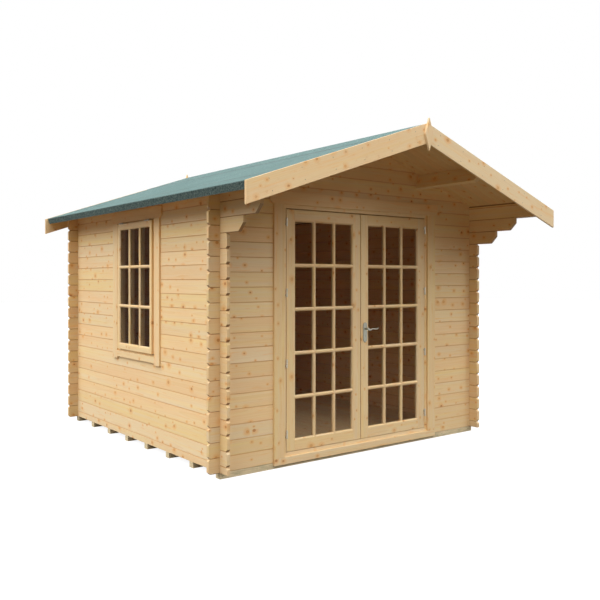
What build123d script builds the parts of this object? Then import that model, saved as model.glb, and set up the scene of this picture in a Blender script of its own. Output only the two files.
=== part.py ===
from build123d import *

import os
from math import cos, radians, sin, tan

# A small garden cabin of interlocking logs, with an apex roof that runs forward as a canopy,
# double glazed doors in the front gable and one window in the left wall.
# Millimetres, +Z up. The front faces -Y. The origin is on the ground, under the middle of the
# whole cabin, roof and finials included.

# ---- logs and walls ----
LOG_THICK = 28.0            # wall thickness
LOG_HEIGHT = 114.0          # height of one course
LOG_GAP = 0.6               # open joint between two courses
LOG_EDGE = 3.0              # bevel along each long edge, two of them make the V joint
LOG_END = 97.0              # how far a log runs past the wall it crosses
END_BEVEL = 17.0            # bevel above and below each log's tip
WALL_WIDTH = 2856.0         # outer face to outer face, left to right
WALL_DEPTH = 2856.0         # outer face to outer face, front to back
COURSES = 18                # whole courses of the front and back walls below the gable
LAP_PLAY = 0.3              # play in the notched corner joints
SEAT = 0.5                  # play round a beam or frame that a log is cut for
PAST = 1.0                  # a cut runs this far past the wood's faces

# ---- floor ----
BEARERS = 8
BEARER_WIDTH = 58.0
BEARER_HEIGHT = 46.0
FLOOR_THICK = 18.0

# ---- roof ----
PITCH = 19.0                # degrees
RIDGE_TOP = 2684.0          # top of the felt at the ridge
FELT_THICK = 2.5
FELT_APRON = 58.0           # felt turned down square to the slope at the eaves
BOARD_THICK = 18.0
ROOF_HALF = 1664.5          # middle of the ridge to the felt's outer corner
CANOPY = 740.0              # front wall to the front of the bargeboards
REAR_OVERHANG = 224.0       # back wall to the back of the bargeboards
BARGE_THICK = 18.0
BARGE_WIDTH = 147.5
BARGE_PROUD = 2.5           # the bargeboards' top edge stands this far above the felt
BARGE_HALF = 1687.0         # the bargeboards' ends stand past the felt
FINIAL_THICK = 18.0
FINIAL_WIDTH = 90.0
FINIAL_HEIGHT = 257.0
FINIAL_MIDDLE = 2598.5
PURLIN_THICK = 44.0
PURLIN_DEPTH = 128.0
RIDGE_PURLIN_DEPTH = 115.0
PURLIN_ALONG = 728.0        # down the slope from the ridge to the purlin
BEAM_CHAMFER = 63.0         # lower front corner of purlins and corbels
EAVES_STRIP = 20.0          # batten under the boards' edge that the felt is nailed to

# ---- corbels: the upper side logs that step out under the canopy ----
CORBEL_THIRD = 311.0
CORBEL_SECOND = 525.0

# ---- double doors ----
DOOR_X = -29.5              # middle of the doorway
LEAF_HALF = 788.0           # middle to the hinged edge
LEAF_MEET = 3.5             # middle to the meeting edge
LEAF_LOW = 115.0
LEAF_HIGH = 2026.0
LEAF_THICK = 40.0
STILE = 92.0
RAIL = 93.0
DOOR_PLAY = 5.0
HEAD_PLAY = 9.0             # more play over the doors, for when the walls settle
JAMB = 44.0
FRAME_DEPTH = 60.0
STOP = 14.0
SILL_LOW = 80.0
GLASS_THICK = 4.0
GLASS_IN = 13.0             # glass behind the outer face
TRIM_THICK = 18.0
TRIM_INNER = 819.5
TRIM_OUTER = 918.0
HEAD_TRIM_LOW = 2064.0
HEAD_TRIM_HEIGHT = 100.0
EAR = 36.0
EAR_RISE = 30.0
BOTTOM_BOARD_LOW = 23.5

# ---- door furniture ----
HINGES = 4
HINGE_LOW = 253.0
HINGE_PITCH = 557.5
BARREL_R = 7.0
BARREL_LONG = 70.0
ARM_NEAR = 3.0              # hinge axis to the near side of the arm
ARM_FAR = 11.0              # hinge axis to the far side of the arm
ARM_FRONT = 2.0             # the arm stands this far in front of the axis
ARM_HALF = 7.0              # half the height of the arm
PIN_R = 3.0
PIN_PLAY = 0.06
PIN_LONG = 30.0             # pin from inside the lower barrel into the upper one
PIN_RISE = 14.0             # middle of the pin above the hinge's middle
BORE_LONG = 40.0
BORE_RISE = 12.0
HINGE_OUT = 9.0             # hinge axis in front of the doors' face
PLATE_WIDTH = 45.0
PLATE_HEIGHT = 174.0
PLATE_THICK = 8.0
PLATE_MIDDLE = 1018.0
LEVER_Z = 1052.0
SPINDLE_R = 5.0
NECK_R = 9.0
LEVER_OUT = 48.0            # door's face to the lever's outer face
LEVER_THICK = 12.0
LEVER_CURVE = (             # from the spindle: along, middle line up, half the height
    (0.0, 0.0, 10.0), (12.0, -5.0, 10.0), (22.0, -10.0, 8.5), (31.0, -9.0, 7.0), (42.0, -3.0, 6.0),
    (56.0, -0.5, 6.0), (72.0, -2.5, 6.0), (88.0, -6.0, 6.0), (100.0, -6.5, 6.0), (110.0, -1.5, 5.5),
    (118.0, 5.0, 4.0), (121.0, 7.5, 2.0))

# ---- window in the left wall ----
WINDOW_FROM_FRONT = 1420.0  # front face of the cabin to the middle of the window
SASH_HALF = 352.0
SASH_LOW = 837.0
SASH_HIGH = 1980.0
SASH_THICK = 26.0
SASH_STILE = 50.0
SASH_RAIL = 55.0
SASH_LAP = 10.0             # the sash laps over the edge of the frame
WINDOW_FRAME_INNER = 342.0
WINDOW_FRAME_OUTER = 397.0
WINDOW_FRAME_DEPTH = 50.0
WINDOW_TRIM_INNER = 378.0
WINDOW_TRIM_OUTER = 473.0
WINDOW_LEG_LOW = 743.0
WINDOW_BOARD_LOW = 760.0
WINDOW_BOARD_HIGH = 815.0
WINDOW_HEAD_LOW = 1992.0

# ---- worked out ----
HALF_WIDTH = WALL_WIDTH / 2
INSIDE = HALF_WIDTH - LOG_THICK
TOTAL_DEPTH = WALL_DEPTH + CANOPY + REAR_OVERHANG + 2 * FINIAL_THICK
FRONT = -TOTAL_DEPTH / 2 + FINIAL_THICK + CANOPY
BACK = FRONT + WALL_DEPTH
ROOF_FRONT = FRONT - CANOPY + BARGE_THICK
ROOF_BACK = BACK + REAR_OVERHANG - BARGE_THICK
SLOPE = tan(radians(PITCH))
UPRIGHT = 1 / cos(radians(PITCH))
BOARD_TOP = RIDGE_TOP - FELT_THICK * UPRIGHT
BOARD_UNDER = BOARD_TOP - BOARD_THICK * UPRIGHT
EAVES_ALONG = (ROOF_HALF - (BOARD_THICK + FELT_THICK) * sin(radians(PITCH))) * UPRIGHT
APRON_DEEP = FELT_APRON - BOARD_THICK - FELT_THICK
GABLE_LOW = BEARER_HEIGHT + COURSES * LOG_HEIGHT
SIDE_TOP_LOW = BEARER_HEIGHT + (COURSES - 0.5) * LOG_HEIGHT
FLOOR_TOP = BEARER_HEIGHT + FLOOR_THICK
OPENING_HALF = LEAF_HALF + DOOR_PLAY + JAMB
HEAD_HIGH = LEAF_HIGH + HEAD_PLAY + JAMB
SILL_TOP = LEAF_LOW - DOOR_PLAY
WINDOW_Y = FRONT + WINDOW_FROM_FRONT

os.makedirs("parts", exist_ok=True)


def block(x0, x1, y0, y1, z0, z1):
    """A box between two corners."""
    middle = ((x0 + x1) / 2, (y0 + y1) / 2, (z0 + z1) / 2)
    return Pos(*middle) * Box(abs(x1 - x0), abs(y1 - y0), abs(z1 - z0))


def prism_y(outline, y0, y1):
    """An outline in X and Z, drawn out from y0 to y1."""
    face = Plane.XZ * make_face(Polyline(*outline, close=True))
    return Pos(0, y1, 0) * extrude(face, y1 - y0)


def prism_x(outline, x0, x1):
    """An outline in Y and Z, drawn out from x0 to x1."""
    face = Plane.YZ * make_face(Polyline(*outline, close=True))
    return Pos(x0, 0, 0) * extrude(face, x1 - x0)


def solids(shapes):
    """Flatten shapes to their separate solids."""
    found = []
    for shape in shapes:
        found.extend(shape.solids())
    return found


def save(node, shapes):
    """Write one sub-part; several solids become one compound."""
    pieces = solids(shapes)
    shape = pieces[0] if len(pieces) == 1 else Compound(children=pieces)
    shape.label = node
    export_step(shape, f"parts/{node}.step")


# ------------------------------------------------------------------ logs
# A log is made lying along X, on z = 0, with its outer face at y = 0 and its inner face at
# y = LOG_THICK, and is then set in its wall.

def rounded_section(x0, x1, z0, z1):
    """The section of a log: a plank whose four long edges are bevelled."""
    e = LOG_EDGE
    t = LOG_THICK
    outline = [(e, z0), (t - e, z0), (t, z0 + e), (t, z1 - e),
               (t - e, z1), (e, z1), (0, z1 - e), (0, z0 + e)]
    return prism_x(outline, x0, x1)


def notch(x, low, high):
    """The two cuts that let a crossing log through, leaving low to high standing."""
    half = LOG_THICK / 2 + LAP_PLAY
    below = block(x - half, x + half, -PAST, LOG_THICK + PAST, -PAST, low + LAP_PLAY)
    above = block(x - half, x + half, -PAST, LOG_THICK + PAST, high - LAP_PLAY, 2 * LOG_HEIGHT)
    return [below, above]


def log(x0, x1, start="tip", end="tip", notches=(), height=LOG_HEIGHT, top_notch=0.75):
    """One log from x0 to x1. An end is a bevelled tip, a corbel, a half log's tip, or square."""
    z0 = LOG_GAP / 2
    z1 = height - LOG_GAP / 2
    outline = []
    if start == "tip":
        outline += [(x0 + END_BEVEL, z0), (x0, z0 + END_BEVEL), (x0, z1 - END_BEVEL)]
        outline += [(x0 + END_BEVEL, z1)]
    elif start == "corbel":
        outline += [(x0 + BEAM_CHAMFER, z0), (x0, z0 + BEAM_CHAMFER), (x0, z1)]
    else:
        outline += [(x0, z0), (x0, z1)]
    if end == "tip":
        outline += [(x1 - END_BEVEL, z1), (x1, z1 - END_BEVEL), (x1, z0 + END_BEVEL)]
        outline += [(x1 - END_BEVEL, z0)]
    else:
        outline += [(x1, z1), (x1, z0)]
    body = prism_y(outline, 0, LOG_THICK) & rounded_section(x0, x1, z0, z1)
    for x in notches:
        for cut in notch(x, LOG_HEIGHT / 4, LOG_HEIGHT * top_notch):
            body -= cut
    return body


def in_front_wall(piece, z):
    return Pos(0, FRONT, z) * piece


def in_back_wall(piece, z):
    """The outer face looks backwards, so the log is turned half round."""
    return Pos(0, BACK, z) * Rot(0, 0, 180) * piece


def in_left_wall(piece, z):
    """Local x runs from the front wall's outer face towards the back."""
    return Pos(-HALF_WIDTH, FRONT, z) * mirror(Rot(0, 0, 90) * piece, Plane.YZ)


def in_right_wall(piece, z):
    return Pos(HALF_WIDTH, FRONT, z) * (Rot(0, 0, 90) * piece)


def course(k):
    """Height of the underside of course k."""
    return BEARER_HEIGHT + k * LOG_HEIGHT


TIP = HALF_WIDTH + LOG_END
CROSS = HALF_WIDTH - LOG_THICK / 2


def front_and_back_walls():
    left_end = DOOR_X - OPENING_HALF
    right_end = DOOR_X + OPENING_HALF
    whole = log(-TIP, TIP, notches=(-CROSS, CROSS))
    left = log(-TIP, left_end, end="square", notches=(-CROSS,))
    right = log(right_end, TIP, start="square", notches=(CROSS,))
    doorway = block(left_end, right_end, -PAST, LOG_THICK + PAST, SILL_LOW - course(0), LOG_HEIGHT)
    save("front_sill_log", [in_front_wall(whole - doorway, course(0))])
    save("front_wall_left", [in_front_wall(left, course(k)) for k in range(1, COURSES)])
    save("front_wall_right", [in_front_wall(right, course(k)) for k in range(1, COURSES)])
    save("back_wall", [in_back_wall(whole, course(k)) for k in range(COURSES)])


def side_logs(place, first, last, x0, x1, start="tip", end="tip"):
    """Whole side-wall logs, whose joints lie half a course above those of the front wall."""
    crossings = []
    if x0 < 0:
        crossings.append(LOG_THICK / 2)
    if x1 > WALL_DEPTH:
        crossings.append(WALL_DEPTH - LOG_THICK / 2)
    piece = log(x0, x1, start, end, crossings)
    return [place(piece, course(k + 0.5)) for k in range(first, last)]


def side_top_log(place):
    """The log under the eaves: planed to the roof, and long enough to reach both bargeboards."""
    x0 = ROOF_FRONT - FRONT
    x1 = ROOF_BACK - FRONT
    outer = BOARD_UNDER - SLOPE * HALF_WIDTH - SIDE_TOP_LOW
    inner = BOARD_UNDER - SLOPE * INSIDE - SIDE_TOP_LOW
    e = LOG_EDGE
    z0 = LOG_GAP / 2
    outline = [(e, z0), (LOG_THICK - e, z0), (LOG_THICK, z0 + e), (LOG_THICK, inner), (0, outer), (0, z0 + e)]
    body = prism_x(outline, x0, x1)
    for x in (LOG_THICK / 2, WALL_DEPTH - LOG_THICK / 2):
        body -= notch(x, LOG_HEIGHT / 4, LOG_HEIGHT)[0]
    return place(body, SIDE_TOP_LOW)


def half_log(place):
    """The first side log is half a course high and lies on the bearers."""
    x0 = -LOG_END
    x1 = WALL_DEPTH + LOG_END
    high = LOG_HEIGHT / 2
    z1 = high - LOG_GAP / 2
    outline = [(x0, 0), (x0, z1 - END_BEVEL), (x0 + END_BEVEL, z1)]
    outline += [(x1 - END_BEVEL, z1), (x1, z1 - END_BEVEL), (x1, 0)]
    body = prism_y(outline, 0, LOG_THICK) & rounded_section(x0, x1, 0, z1)
    for x in (LOG_THICK / 2, WALL_DEPTH - LOG_THICK / 2):
        half = LOG_THICK / 2 + LAP_PLAY
        body -= block(x - half, x + half, -PAST, LOG_THICK + PAST, LOG_HEIGHT / 4 - LAP_PLAY, LOG_HEIGHT)
    return place(body, BEARER_HEIGHT)


def side_walls():
    back_tip = WALL_DEPTH + LOG_END
    top = COURSES - 1                       # number of whole side courses under the top log
    window_first = 6                        # first course that the window cuts
    third = top - 2
    second = top - 1
    right = [half_log(in_right_wall)]
    right += side_logs(in_right_wall, 0, third, -LOG_END, back_tip)
    right += side_logs(in_right_wall, third, third + 1, -CORBEL_THIRD, back_tip, start="corbel")
    right += side_logs(in_right_wall, second, second + 1, -CORBEL_SECOND, back_tip, start="corbel")
    right += [side_top_log(in_right_wall)]
    save("right_wall", right)

    lower = [half_log(in_left_wall)]
    lower += side_logs(in_left_wall, 0, window_first, -LOG_END, back_tip)
    save("left_wall_lower", lower)
    window_front = WINDOW_FROM_FRONT - WINDOW_FRAME_OUTER
    window_back = WINDOW_FROM_FRONT + WINDOW_FRAME_OUTER
    front = side_logs(in_left_wall, window_first, third, -LOG_END, window_front, end="square")
    front += side_logs(in_left_wall, third, third + 1, -CORBEL_THIRD, window_front, "corbel", "square")
    front += side_logs(in_left_wall, second, second + 1, -CORBEL_SECOND, window_front, "corbel", "square")
    save("left_wall_front", front)
    save("left_wall_rear", side_logs(in_left_wall, window_first, top, window_back, back_tip, start="square"))
    save("left_wall_top", [side_top_log(in_left_wall)])


# ------------------------------------------------------------------ roof timbers

def slope_point(side, along, deep):
    """A point of a roof slope: along it from the ridge, and deep under the boards."""
    down = radians(PITCH)
    x = along * cos(down) - deep * sin(down)
    z = BOARD_UNDER - along * sin(down) - deep * cos(down)
    return (side * x, z)


def slope_box(side, along0, along1, y0, y1, deep0, deep1):
    """A box set square to one roof slope."""
    corners = [(along0, deep0), (along1, deep0), (along1, deep1), (along0, deep1)]
    return prism_y([slope_point(side, along, deep) for along, deep in corners], y0, y1)


def front_chamfer(side, along0, along1, deep):
    """The slanting cut under the front end of a purlin."""
    x, z = slope_point(side, (along0 + along1) / 2, deep)
    across = BEAM_CHAMFER * 2 ** 0.5
    wedge = Rot(0, side * PITCH, 0) * Rot(45, 0, 0) * Box(2 * PURLIN_THICK, across, across)
    return Pos(x, ROOF_FRONT, z) * wedge


def purlin(side, play=0.0):
    along0 = PURLIN_ALONG - play
    along1 = PURLIN_ALONG + PURLIN_THICK + play
    body = slope_box(side, along0, along1, ROOF_FRONT, ROOF_BACK, -play, PURLIN_DEPTH + play)
    if play == 0:
        body -= front_chamfer(side, along0, along1, PURLIN_DEPTH)
    return body


def ridge_purlin(play=0.0):
    half = PURLIN_THICK / 2 + play
    top = BOARD_UNDER - SLOPE * PURLIN_THICK / 2
    low = top - RIDGE_PURLIN_DEPTH - play
    if play > 0:
        top = RIDGE_TOP
    return block(-half, half, ROOF_FRONT, ROOF_BACK, low, top)


def gable_log(k, low, high):
    """A gable log, cut to the slope at both ends."""
    def reach(z):
        return min(INSIDE - SEAT, (BOARD_UNDER - z) / SLOPE - SEAT)

    outline = [(reach(low), low)]
    shoulder = BOARD_UNDER - SLOPE * (INSIDE - SEAT) - SEAT * SLOPE
    if low < shoulder < high:
        outline.append((INSIDE - SEAT, shoulder))
    if high < BOARD_UNDER - PAST:
        outline.append((reach(high), high))
        mirrored = [(-x, z) for x, z in reversed(outline)]
    else:
        mirrored = [(0, BOARD_UNDER - SEAT)] + [(-x, z) for x, z in reversed(outline)]
    return prism_y(outline + mirrored, 0, LOG_THICK)


def gables():
    beams = [ridge_purlin(SEAT), purlin(-1, SEAT), purlin(1, SEAT)]
    logs = []
    k = COURSES
    while course(k) + END_BEVEL < BOARD_UNDER:
        low = course(k) + LOG_GAP / 2
        high = course(k + 1) - LOG_GAP / 2
        body = gable_log(k, low, high)
        body &= rounded_section(-HALF_WIDTH, HALF_WIDTH, low, high)
        logs.append(body)
        k += 1
    front = []
    back = []
    for body in logs:
        at_front = Pos(0, FRONT, 0) * body
        at_back = Pos(0, BACK - LOG_THICK, 0) * body
        for beam in beams:
            at_front -= beam
            at_back -= beam
        front.append(at_front)
        back.append(at_back)
    save("front_gable", front)
    save("back_gable", back)


def roof():
    save("ridge_purlin", [ridge_purlin()])
    save("left_purlin", [purlin(-1)])
    save("right_purlin", [purlin(1)])
    edge = EAVES_ALONG - FELT_THICK
    strips = []
    for side, name in ((-1, "left"), (1, "right")):
        board_edge = slope_point(side, edge, -BOARD_THICK)
        boards = [(0, BOARD_TOP), board_edge, slope_point(side, edge, 0), (0, BOARD_UNDER)]
        save(f"roof_boards_{name}", [prism_y(boards, ROOF_FRONT, ROOF_BACK)])
        felt = [(0, RIDGE_TOP), slope_point(side, EAVES_ALONG, -BOARD_THICK - FELT_THICK)]
        felt += [slope_point(side, EAVES_ALONG, APRON_DEEP), slope_point(side, edge, APRON_DEEP)]
        felt += [board_edge, (0, BOARD_TOP)]
        save(f"roof_felt_{name}", [prism_y(felt, ROOF_FRONT, ROOF_BACK)])
        strips.append(slope_box(side, edge - EAVES_STRIP, edge, ROOF_FRONT, ROOF_BACK,
                                0, APRON_DEEP - FELT_THICK))
    save("eaves_strips", strips)


def bargeboard(side, y0):
    half_gap = LOG_GAP / 2
    deep = BARGE_WIDTH * UPRIGHT
    high = RIDGE_TOP + BARGE_PROUD * UPRIGHT
    low = high - SLOPE * BARGE_HALF
    outline = [(side * half_gap, high), (side * BARGE_HALF, low), (side * BARGE_HALF, low - deep)]
    outline += [(side * half_gap, high - deep)]
    return prism_y(outline, y0, y0 + BARGE_THICK)


def finial(y0):
    half = FINIAL_HEIGHT / 2
    outline = [(0, FINIAL_MIDDLE + half), (FINIAL_WIDTH / 2, FINIAL_MIDDLE)]
    outline += [(0, FINIAL_MIDDLE - half), (-FINIAL_WIDTH / 2, FINIAL_MIDDLE)]
    return prism_y(outline, y0, y0 + FINIAL_THICK)


def roof_ends():
    front = ROOF_FRONT - BARGE_THICK
    save("front_bargeboards", [bargeboard(-1, front), bargeboard(1, front)])
    save("rear_bargeboards", [bargeboard(-1, ROOF_BACK), bargeboard(1, ROOF_BACK)])
    save("finials", [finial(front - FINIAL_THICK), finial(ROOF_BACK + BARGE_THICK)])


# ------------------------------------------------------------------ floor

def floor():
    step = (WALL_DEPTH - BEARER_WIDTH) / (BEARERS - 1)
    bearers = []
    for n in range(BEARERS):
        y0 = FRONT + n * step
        bearers.append(block(-HALF_WIDTH, HALF_WIDTH, y0, y0 + BEARER_WIDTH, 0, BEARER_HEIGHT))
    save("floor_bearers", bearers)
    y0 = FRONT + LOG_THICK + SEAT
    y1 = BACK - LOG_THICK - SEAT
    boards = block(-INSIDE + SEAT, INSIDE - SEAT, y0, y1, BEARER_HEIGHT, FLOOR_TOP)
    save("floor_boards", [boards])


# ------------------------------------------------------------------ doors

def door_frame():
    y1 = FRONT + FRAME_DEPTH
    stop_y = FRONT + LEAF_THICK + DOOR_PLAY
    inner = LEAF_HALF + DOOR_PLAY
    jambs = []
    for side in (-1, 1):
        x0 = DOOR_X + side * inner
        jamb = block(x0, DOOR_X + side * OPENING_HALF, FRONT, y1, SILL_LOW, HEAD_HIGH)
        jambs.append(jamb + block(x0 - side * STOP, x0, stop_y, y1, SILL_LOW, HEAD_HIGH))
    save("door_jambs", jambs)
    x0 = DOOR_X - inner
    x1 = DOOR_X + inner
    low = LEAF_HIGH + HEAD_PLAY
    head = block(x0, x1, FRONT, stop_y, low, HEAD_HIGH)
    head += block(x0 + STOP, x1 - STOP, stop_y, y1, low - STOP, HEAD_HIGH)
    save("door_head", [head])
    sill = block(x0, x1, FRONT, stop_y, SILL_LOW, SILL_TOP)
    sill += block(x0 + STOP, x1 - STOP, stop_y, y1, SILL_LOW, SILL_TOP + STOP)
    save("door_sill", [sill])


def head_trim_outline(half, low):
    """A head board with ears that slant down to the side boards."""
    high = low + HEAD_TRIM_HEIGHT
    right = [(half, low), (half + EAR, low + EAR_RISE), (half + EAR, high)]
    return right + [(-x, z) for x, z in reversed(right)]


def door_trims():
    y0 = FRONT - TRIM_THICK
    low = SILL_LOW - SEAT
    sides = []
    for side in (-1, 1):
        x0 = DOOR_X + side * TRIM_INNER
        x1 = DOOR_X + side * TRIM_OUTER
        sides.append(block(x0, x1, y0, FRONT, low, HEAD_TRIM_LOW))
    save("door_side_trims", sides)
    head = prism_y(head_trim_outline(TRIM_OUTER, HEAD_TRIM_LOW), y0, FRONT)
    save("door_head_trim", [Pos(DOOR_X, 0, 0) * head])
    board = block(DOOR_X - TRIM_OUTER, DOOR_X + TRIM_OUTER, y0, FRONT, BOTTOM_BOARD_LOW, low)
    save("door_bottom_board", [board])


def hinge_heights():
    return [HINGE_LOW + n * HINGE_PITCH for n in range(HINGES)]


def barrel(x, z0, z1, arm_side):
    """Half a hinge: a barrel with an arm back to the wood's face."""
    y = FRONT - HINGE_OUT
    middle = (z0 + z1) / 2
    tube = Pos(x, y, middle) * Cylinder(BARREL_R, z1 - z0)
    near = x + arm_side * ARM_NEAR
    far = x + arm_side * ARM_FAR
    arm = block(near, far, y - ARM_FRONT, FRONT, middle - ARM_HALF, middle + ARM_HALF)
    return tube + arm


def door_leaf(side, name):
    hung = DOOR_X + side * LEAF_HALF
    meet = DOOR_X + side * LEAF_MEET
    y1 = FRONT + LEAF_THICK
    hung_stile = block(hung, hung - side * STILE, FRONT, y1, LEAF_LOW, LEAF_HIGH)
    meet_stile = block(meet, meet + side * STILE, FRONT, y1, LEAF_LOW, LEAF_HIGH)
    x0 = hung - side * (STILE + SEAT / 2)
    x1 = meet + side * (STILE + SEAT / 2)
    low_rail = block(x0, x1, FRONT, y1, LEAF_LOW, LEAF_LOW + RAIL)
    high_rail = block(x0, x1, FRONT, y1, LEAF_HIGH - RAIL, LEAF_HIGH)
    if side > 0:
        hole = Rot(90, 0, 0) * Cylinder(SPINDLE_R + PIN_PLAY, 4 * LEAF_THICK)
        meet_stile -= Pos(meet + STILE / 2, FRONT, LEVER_Z) * hole
    save(f"{name}_leaf", [hung_stile, meet_stile, low_rail, high_rail])
    g0 = FRONT + GLASS_IN
    pane = block(hung - side * STILE, meet + side * STILE, g0, g0 + GLASS_THICK,
                 LEAF_LOW + RAIL, LEAF_HIGH - RAIL)
    save(f"{name}_glass", [pane])
    axis_x = DOOR_X + side * (LEAF_HALF + DOOR_PLAY / 2)
    knuckles = []
    for z in hinge_heights():
        knuckle = barrel(axis_x, z + SEAT / 2, z + BARREL_LONG / 2, -side)
        bore = Pos(axis_x, FRONT - HINGE_OUT, z + BORE_RISE) * Cylinder(PIN_R + PIN_PLAY, BORE_LONG)
        knuckles.append(knuckle - bore)
    save(f"{name}_hinge_knuckles", knuckles)


def hinge_pins():
    pins = []
    for side in (-1, 1):
        x = DOOR_X + side * (LEAF_HALF + DOOR_PLAY / 2)
        for z in hinge_heights():
            lower = barrel(x, z - BARREL_LONG / 2, z - SEAT / 2, side)
            pin = Pos(x, FRONT - HINGE_OUT, z + PIN_RISE) * Cylinder(PIN_R, PIN_LONG)
            pins.append(lower + pin)
    save("door_hinge_pins", pins)


def lever_bar(x, y0, y1):
    """The waved hand lever: its outline follows LEVER_CURVE."""
    over = [(x + along, LEVER_Z + up + half) for along, up, half in LEVER_CURVE]
    under = [(x + along, LEVER_Z + up - half) for along, up, half in reversed(LEVER_CURVE)]
    return prism_y(over + under, y0, y1)


def handle():
    x = DOOR_X + LEAF_MEET + STILE / 2
    radius = PLATE_WIDTH / 2
    half = (PLATE_HEIGHT - PLATE_WIDTH) / 2
    plates = []
    for y0 in (FRONT - PLATE_THICK, FRONT + LEAF_THICK):
        y1 = y0 + PLATE_THICK
        plate = block(x - radius, x + radius, y0, y1, PLATE_MIDDLE - half, PLATE_MIDDLE + half)
        for z in (PLATE_MIDDLE - half, PLATE_MIDDLE + half):
            plate += Pos(x, (y0 + y1) / 2, z) * Rot(90, 0, 0) * Cylinder(radius, PLATE_THICK)
        plate -= Pos(x, y0, LEVER_Z) * Rot(90, 0, 0) * Cylinder(SPINDLE_R + PIN_PLAY, 4 * PLATE_THICK)
        plates.append(plate)
    save("door_handle_plates", plates)
    outer_y = FRONT - LEVER_OUT
    inner_y = FRONT + LEAF_THICK + LEVER_OUT
    middle = (outer_y + inner_y) / 2
    lever = Pos(x, middle, LEVER_Z) * Rot(90, 0, 0) * Cylinder(SPINDLE_R, inner_y - outer_y)
    for tip_y, plate_y in ((outer_y, FRONT - PLATE_THICK), (inner_y, FRONT + LEAF_THICK + PLATE_THICK)):
        out = -1 if tip_y < plate_y else 1
        base = plate_y + out * SEAT
        neck = Cylinder(NECK_R, abs(tip_y - base))
        lever += Pos(x, (tip_y + base) / 2, LEVER_Z) * Rot(90, 0, 0) * neck
        bar_y = tip_y - out * LEVER_THICK
        lever += lever_bar(x, min(tip_y, bar_y), max(tip_y, bar_y))
    save("door_lever", [lever])


# ------------------------------------------------------------------ window

def ring_members(half, low, high, side_wide, rail_wide, x0, x1):
    """Two uprights and two cross members round an opening in the left wall."""
    pieces = []
    for side in (-1, 1):
        edge = WINDOW_Y + side * half
        pieces.append(block(x0, x1, edge, edge - side * side_wide, low, high))
    y0 = WINDOW_Y - half + side_wide + SEAT / 2
    y1 = WINDOW_Y + half - side_wide - SEAT / 2
    pieces.append(block(x0, x1, y0, y1, low, low + rail_wide[0]))
    pieces.append(block(x0, x1, y0, y1, high - rail_wide[1], high))
    return pieces


def window():
    face = -HALF_WIDTH
    opening_low = course(6.5)
    inner_low = SASH_LOW + SASH_LAP
    inner_high = SASH_HIGH - SASH_LAP
    high = inner_high + WINDOW_FRAME_OUTER - WINDOW_FRAME_INNER
    side_wide = WINDOW_FRAME_OUTER - WINDOW_FRAME_INNER
    rails = (inner_low - opening_low, high - inner_high)
    save("window_frame", ring_members(WINDOW_FRAME_OUTER, opening_low, high, side_wide, rails,
                                      face, face + WINDOW_FRAME_DEPTH))
    save("window_sash", ring_members(SASH_HALF, SASH_LOW, SASH_HIGH, SASH_STILE, (SASH_RAIL, SASH_RAIL),
                                     face - SASH_THICK, face))
    g0 = face - SASH_THICK + GLASS_IN
    glass = block(g0, g0 + GLASS_THICK, WINDOW_Y - SASH_HALF + SASH_STILE, WINDOW_Y + SASH_HALF - SASH_STILE,
                  SASH_LOW + SASH_RAIL, SASH_HIGH - SASH_RAIL)
    save("window_glass", [glass])
    x0 = face - TRIM_THICK
    legs = []
    for side in (-1, 1):
        legs.append(block(x0, face, WINDOW_Y + side * WINDOW_TRIM_INNER, WINDOW_Y + side * WINDOW_TRIM_OUTER,
                          WINDOW_LEG_LOW, WINDOW_HEAD_LOW))
    save("window_side_trims", legs)
    outline = [(y + WINDOW_Y, z) for y, z in head_trim_outline(WINDOW_TRIM_OUTER, WINDOW_HEAD_LOW)]
    save("window_head_trim", [prism_x(outline, x0, face)])
    board = block(x0, face, WINDOW_Y - WINDOW_TRIM_INNER, WINDOW_Y + WINDOW_TRIM_INNER,
                  WINDOW_BOARD_LOW, WINDOW_BOARD_HIGH)
    save("window_bottom_board", [board])


floor()
front_and_back_walls()
side_walls()
gables()
roof()
roof_ends()
door_frame()
door_trims()
door_leaf(-1, "left_door")
door_leaf(1, "right_door")
hinge_pins()
handle()
window()
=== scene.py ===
import math

import bmesh
import bpy
import numpy as np
from mathutils import Matrix, Vector


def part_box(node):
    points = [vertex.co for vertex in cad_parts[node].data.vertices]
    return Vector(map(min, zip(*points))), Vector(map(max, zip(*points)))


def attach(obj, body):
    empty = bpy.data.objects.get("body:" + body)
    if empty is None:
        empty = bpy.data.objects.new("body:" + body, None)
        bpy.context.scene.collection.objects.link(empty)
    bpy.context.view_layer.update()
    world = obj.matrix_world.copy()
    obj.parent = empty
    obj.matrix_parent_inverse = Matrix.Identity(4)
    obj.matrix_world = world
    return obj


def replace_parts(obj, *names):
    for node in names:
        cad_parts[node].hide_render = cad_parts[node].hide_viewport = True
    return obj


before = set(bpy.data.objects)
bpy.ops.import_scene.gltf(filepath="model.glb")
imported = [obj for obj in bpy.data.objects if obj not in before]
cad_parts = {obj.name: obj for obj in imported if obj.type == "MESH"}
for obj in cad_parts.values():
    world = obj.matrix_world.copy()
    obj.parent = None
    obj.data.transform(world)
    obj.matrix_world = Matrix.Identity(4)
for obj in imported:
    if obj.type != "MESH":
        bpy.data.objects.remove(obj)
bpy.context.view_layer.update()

# ---------------------------------------------------------------- floor bearers
# Eight square bearers of pressure-treated softwood lie across the cabin on the ground.
# They are sawn, not planed, and the green preservative has soaked in unevenly and washed
# out to grey and brown at the ends.


def feed(tree, socket, value):
    """Give a socket a value, or link it to another socket."""
    if isinstance(value, bpy.types.NodeSocket):
        tree.links.new(value, socket)
    else:
        socket.default_value = value


def put(tree, kind, sockets, **settings):
    """Add a node with its settings, and feed its inputs by name or number."""
    made = tree.nodes.new(kind)
    for name, value in settings.items():
        setattr(made, name, value)
    for name, value in sockets.items():
        feed(tree, made.inputs[name], value)
    return made


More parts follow.
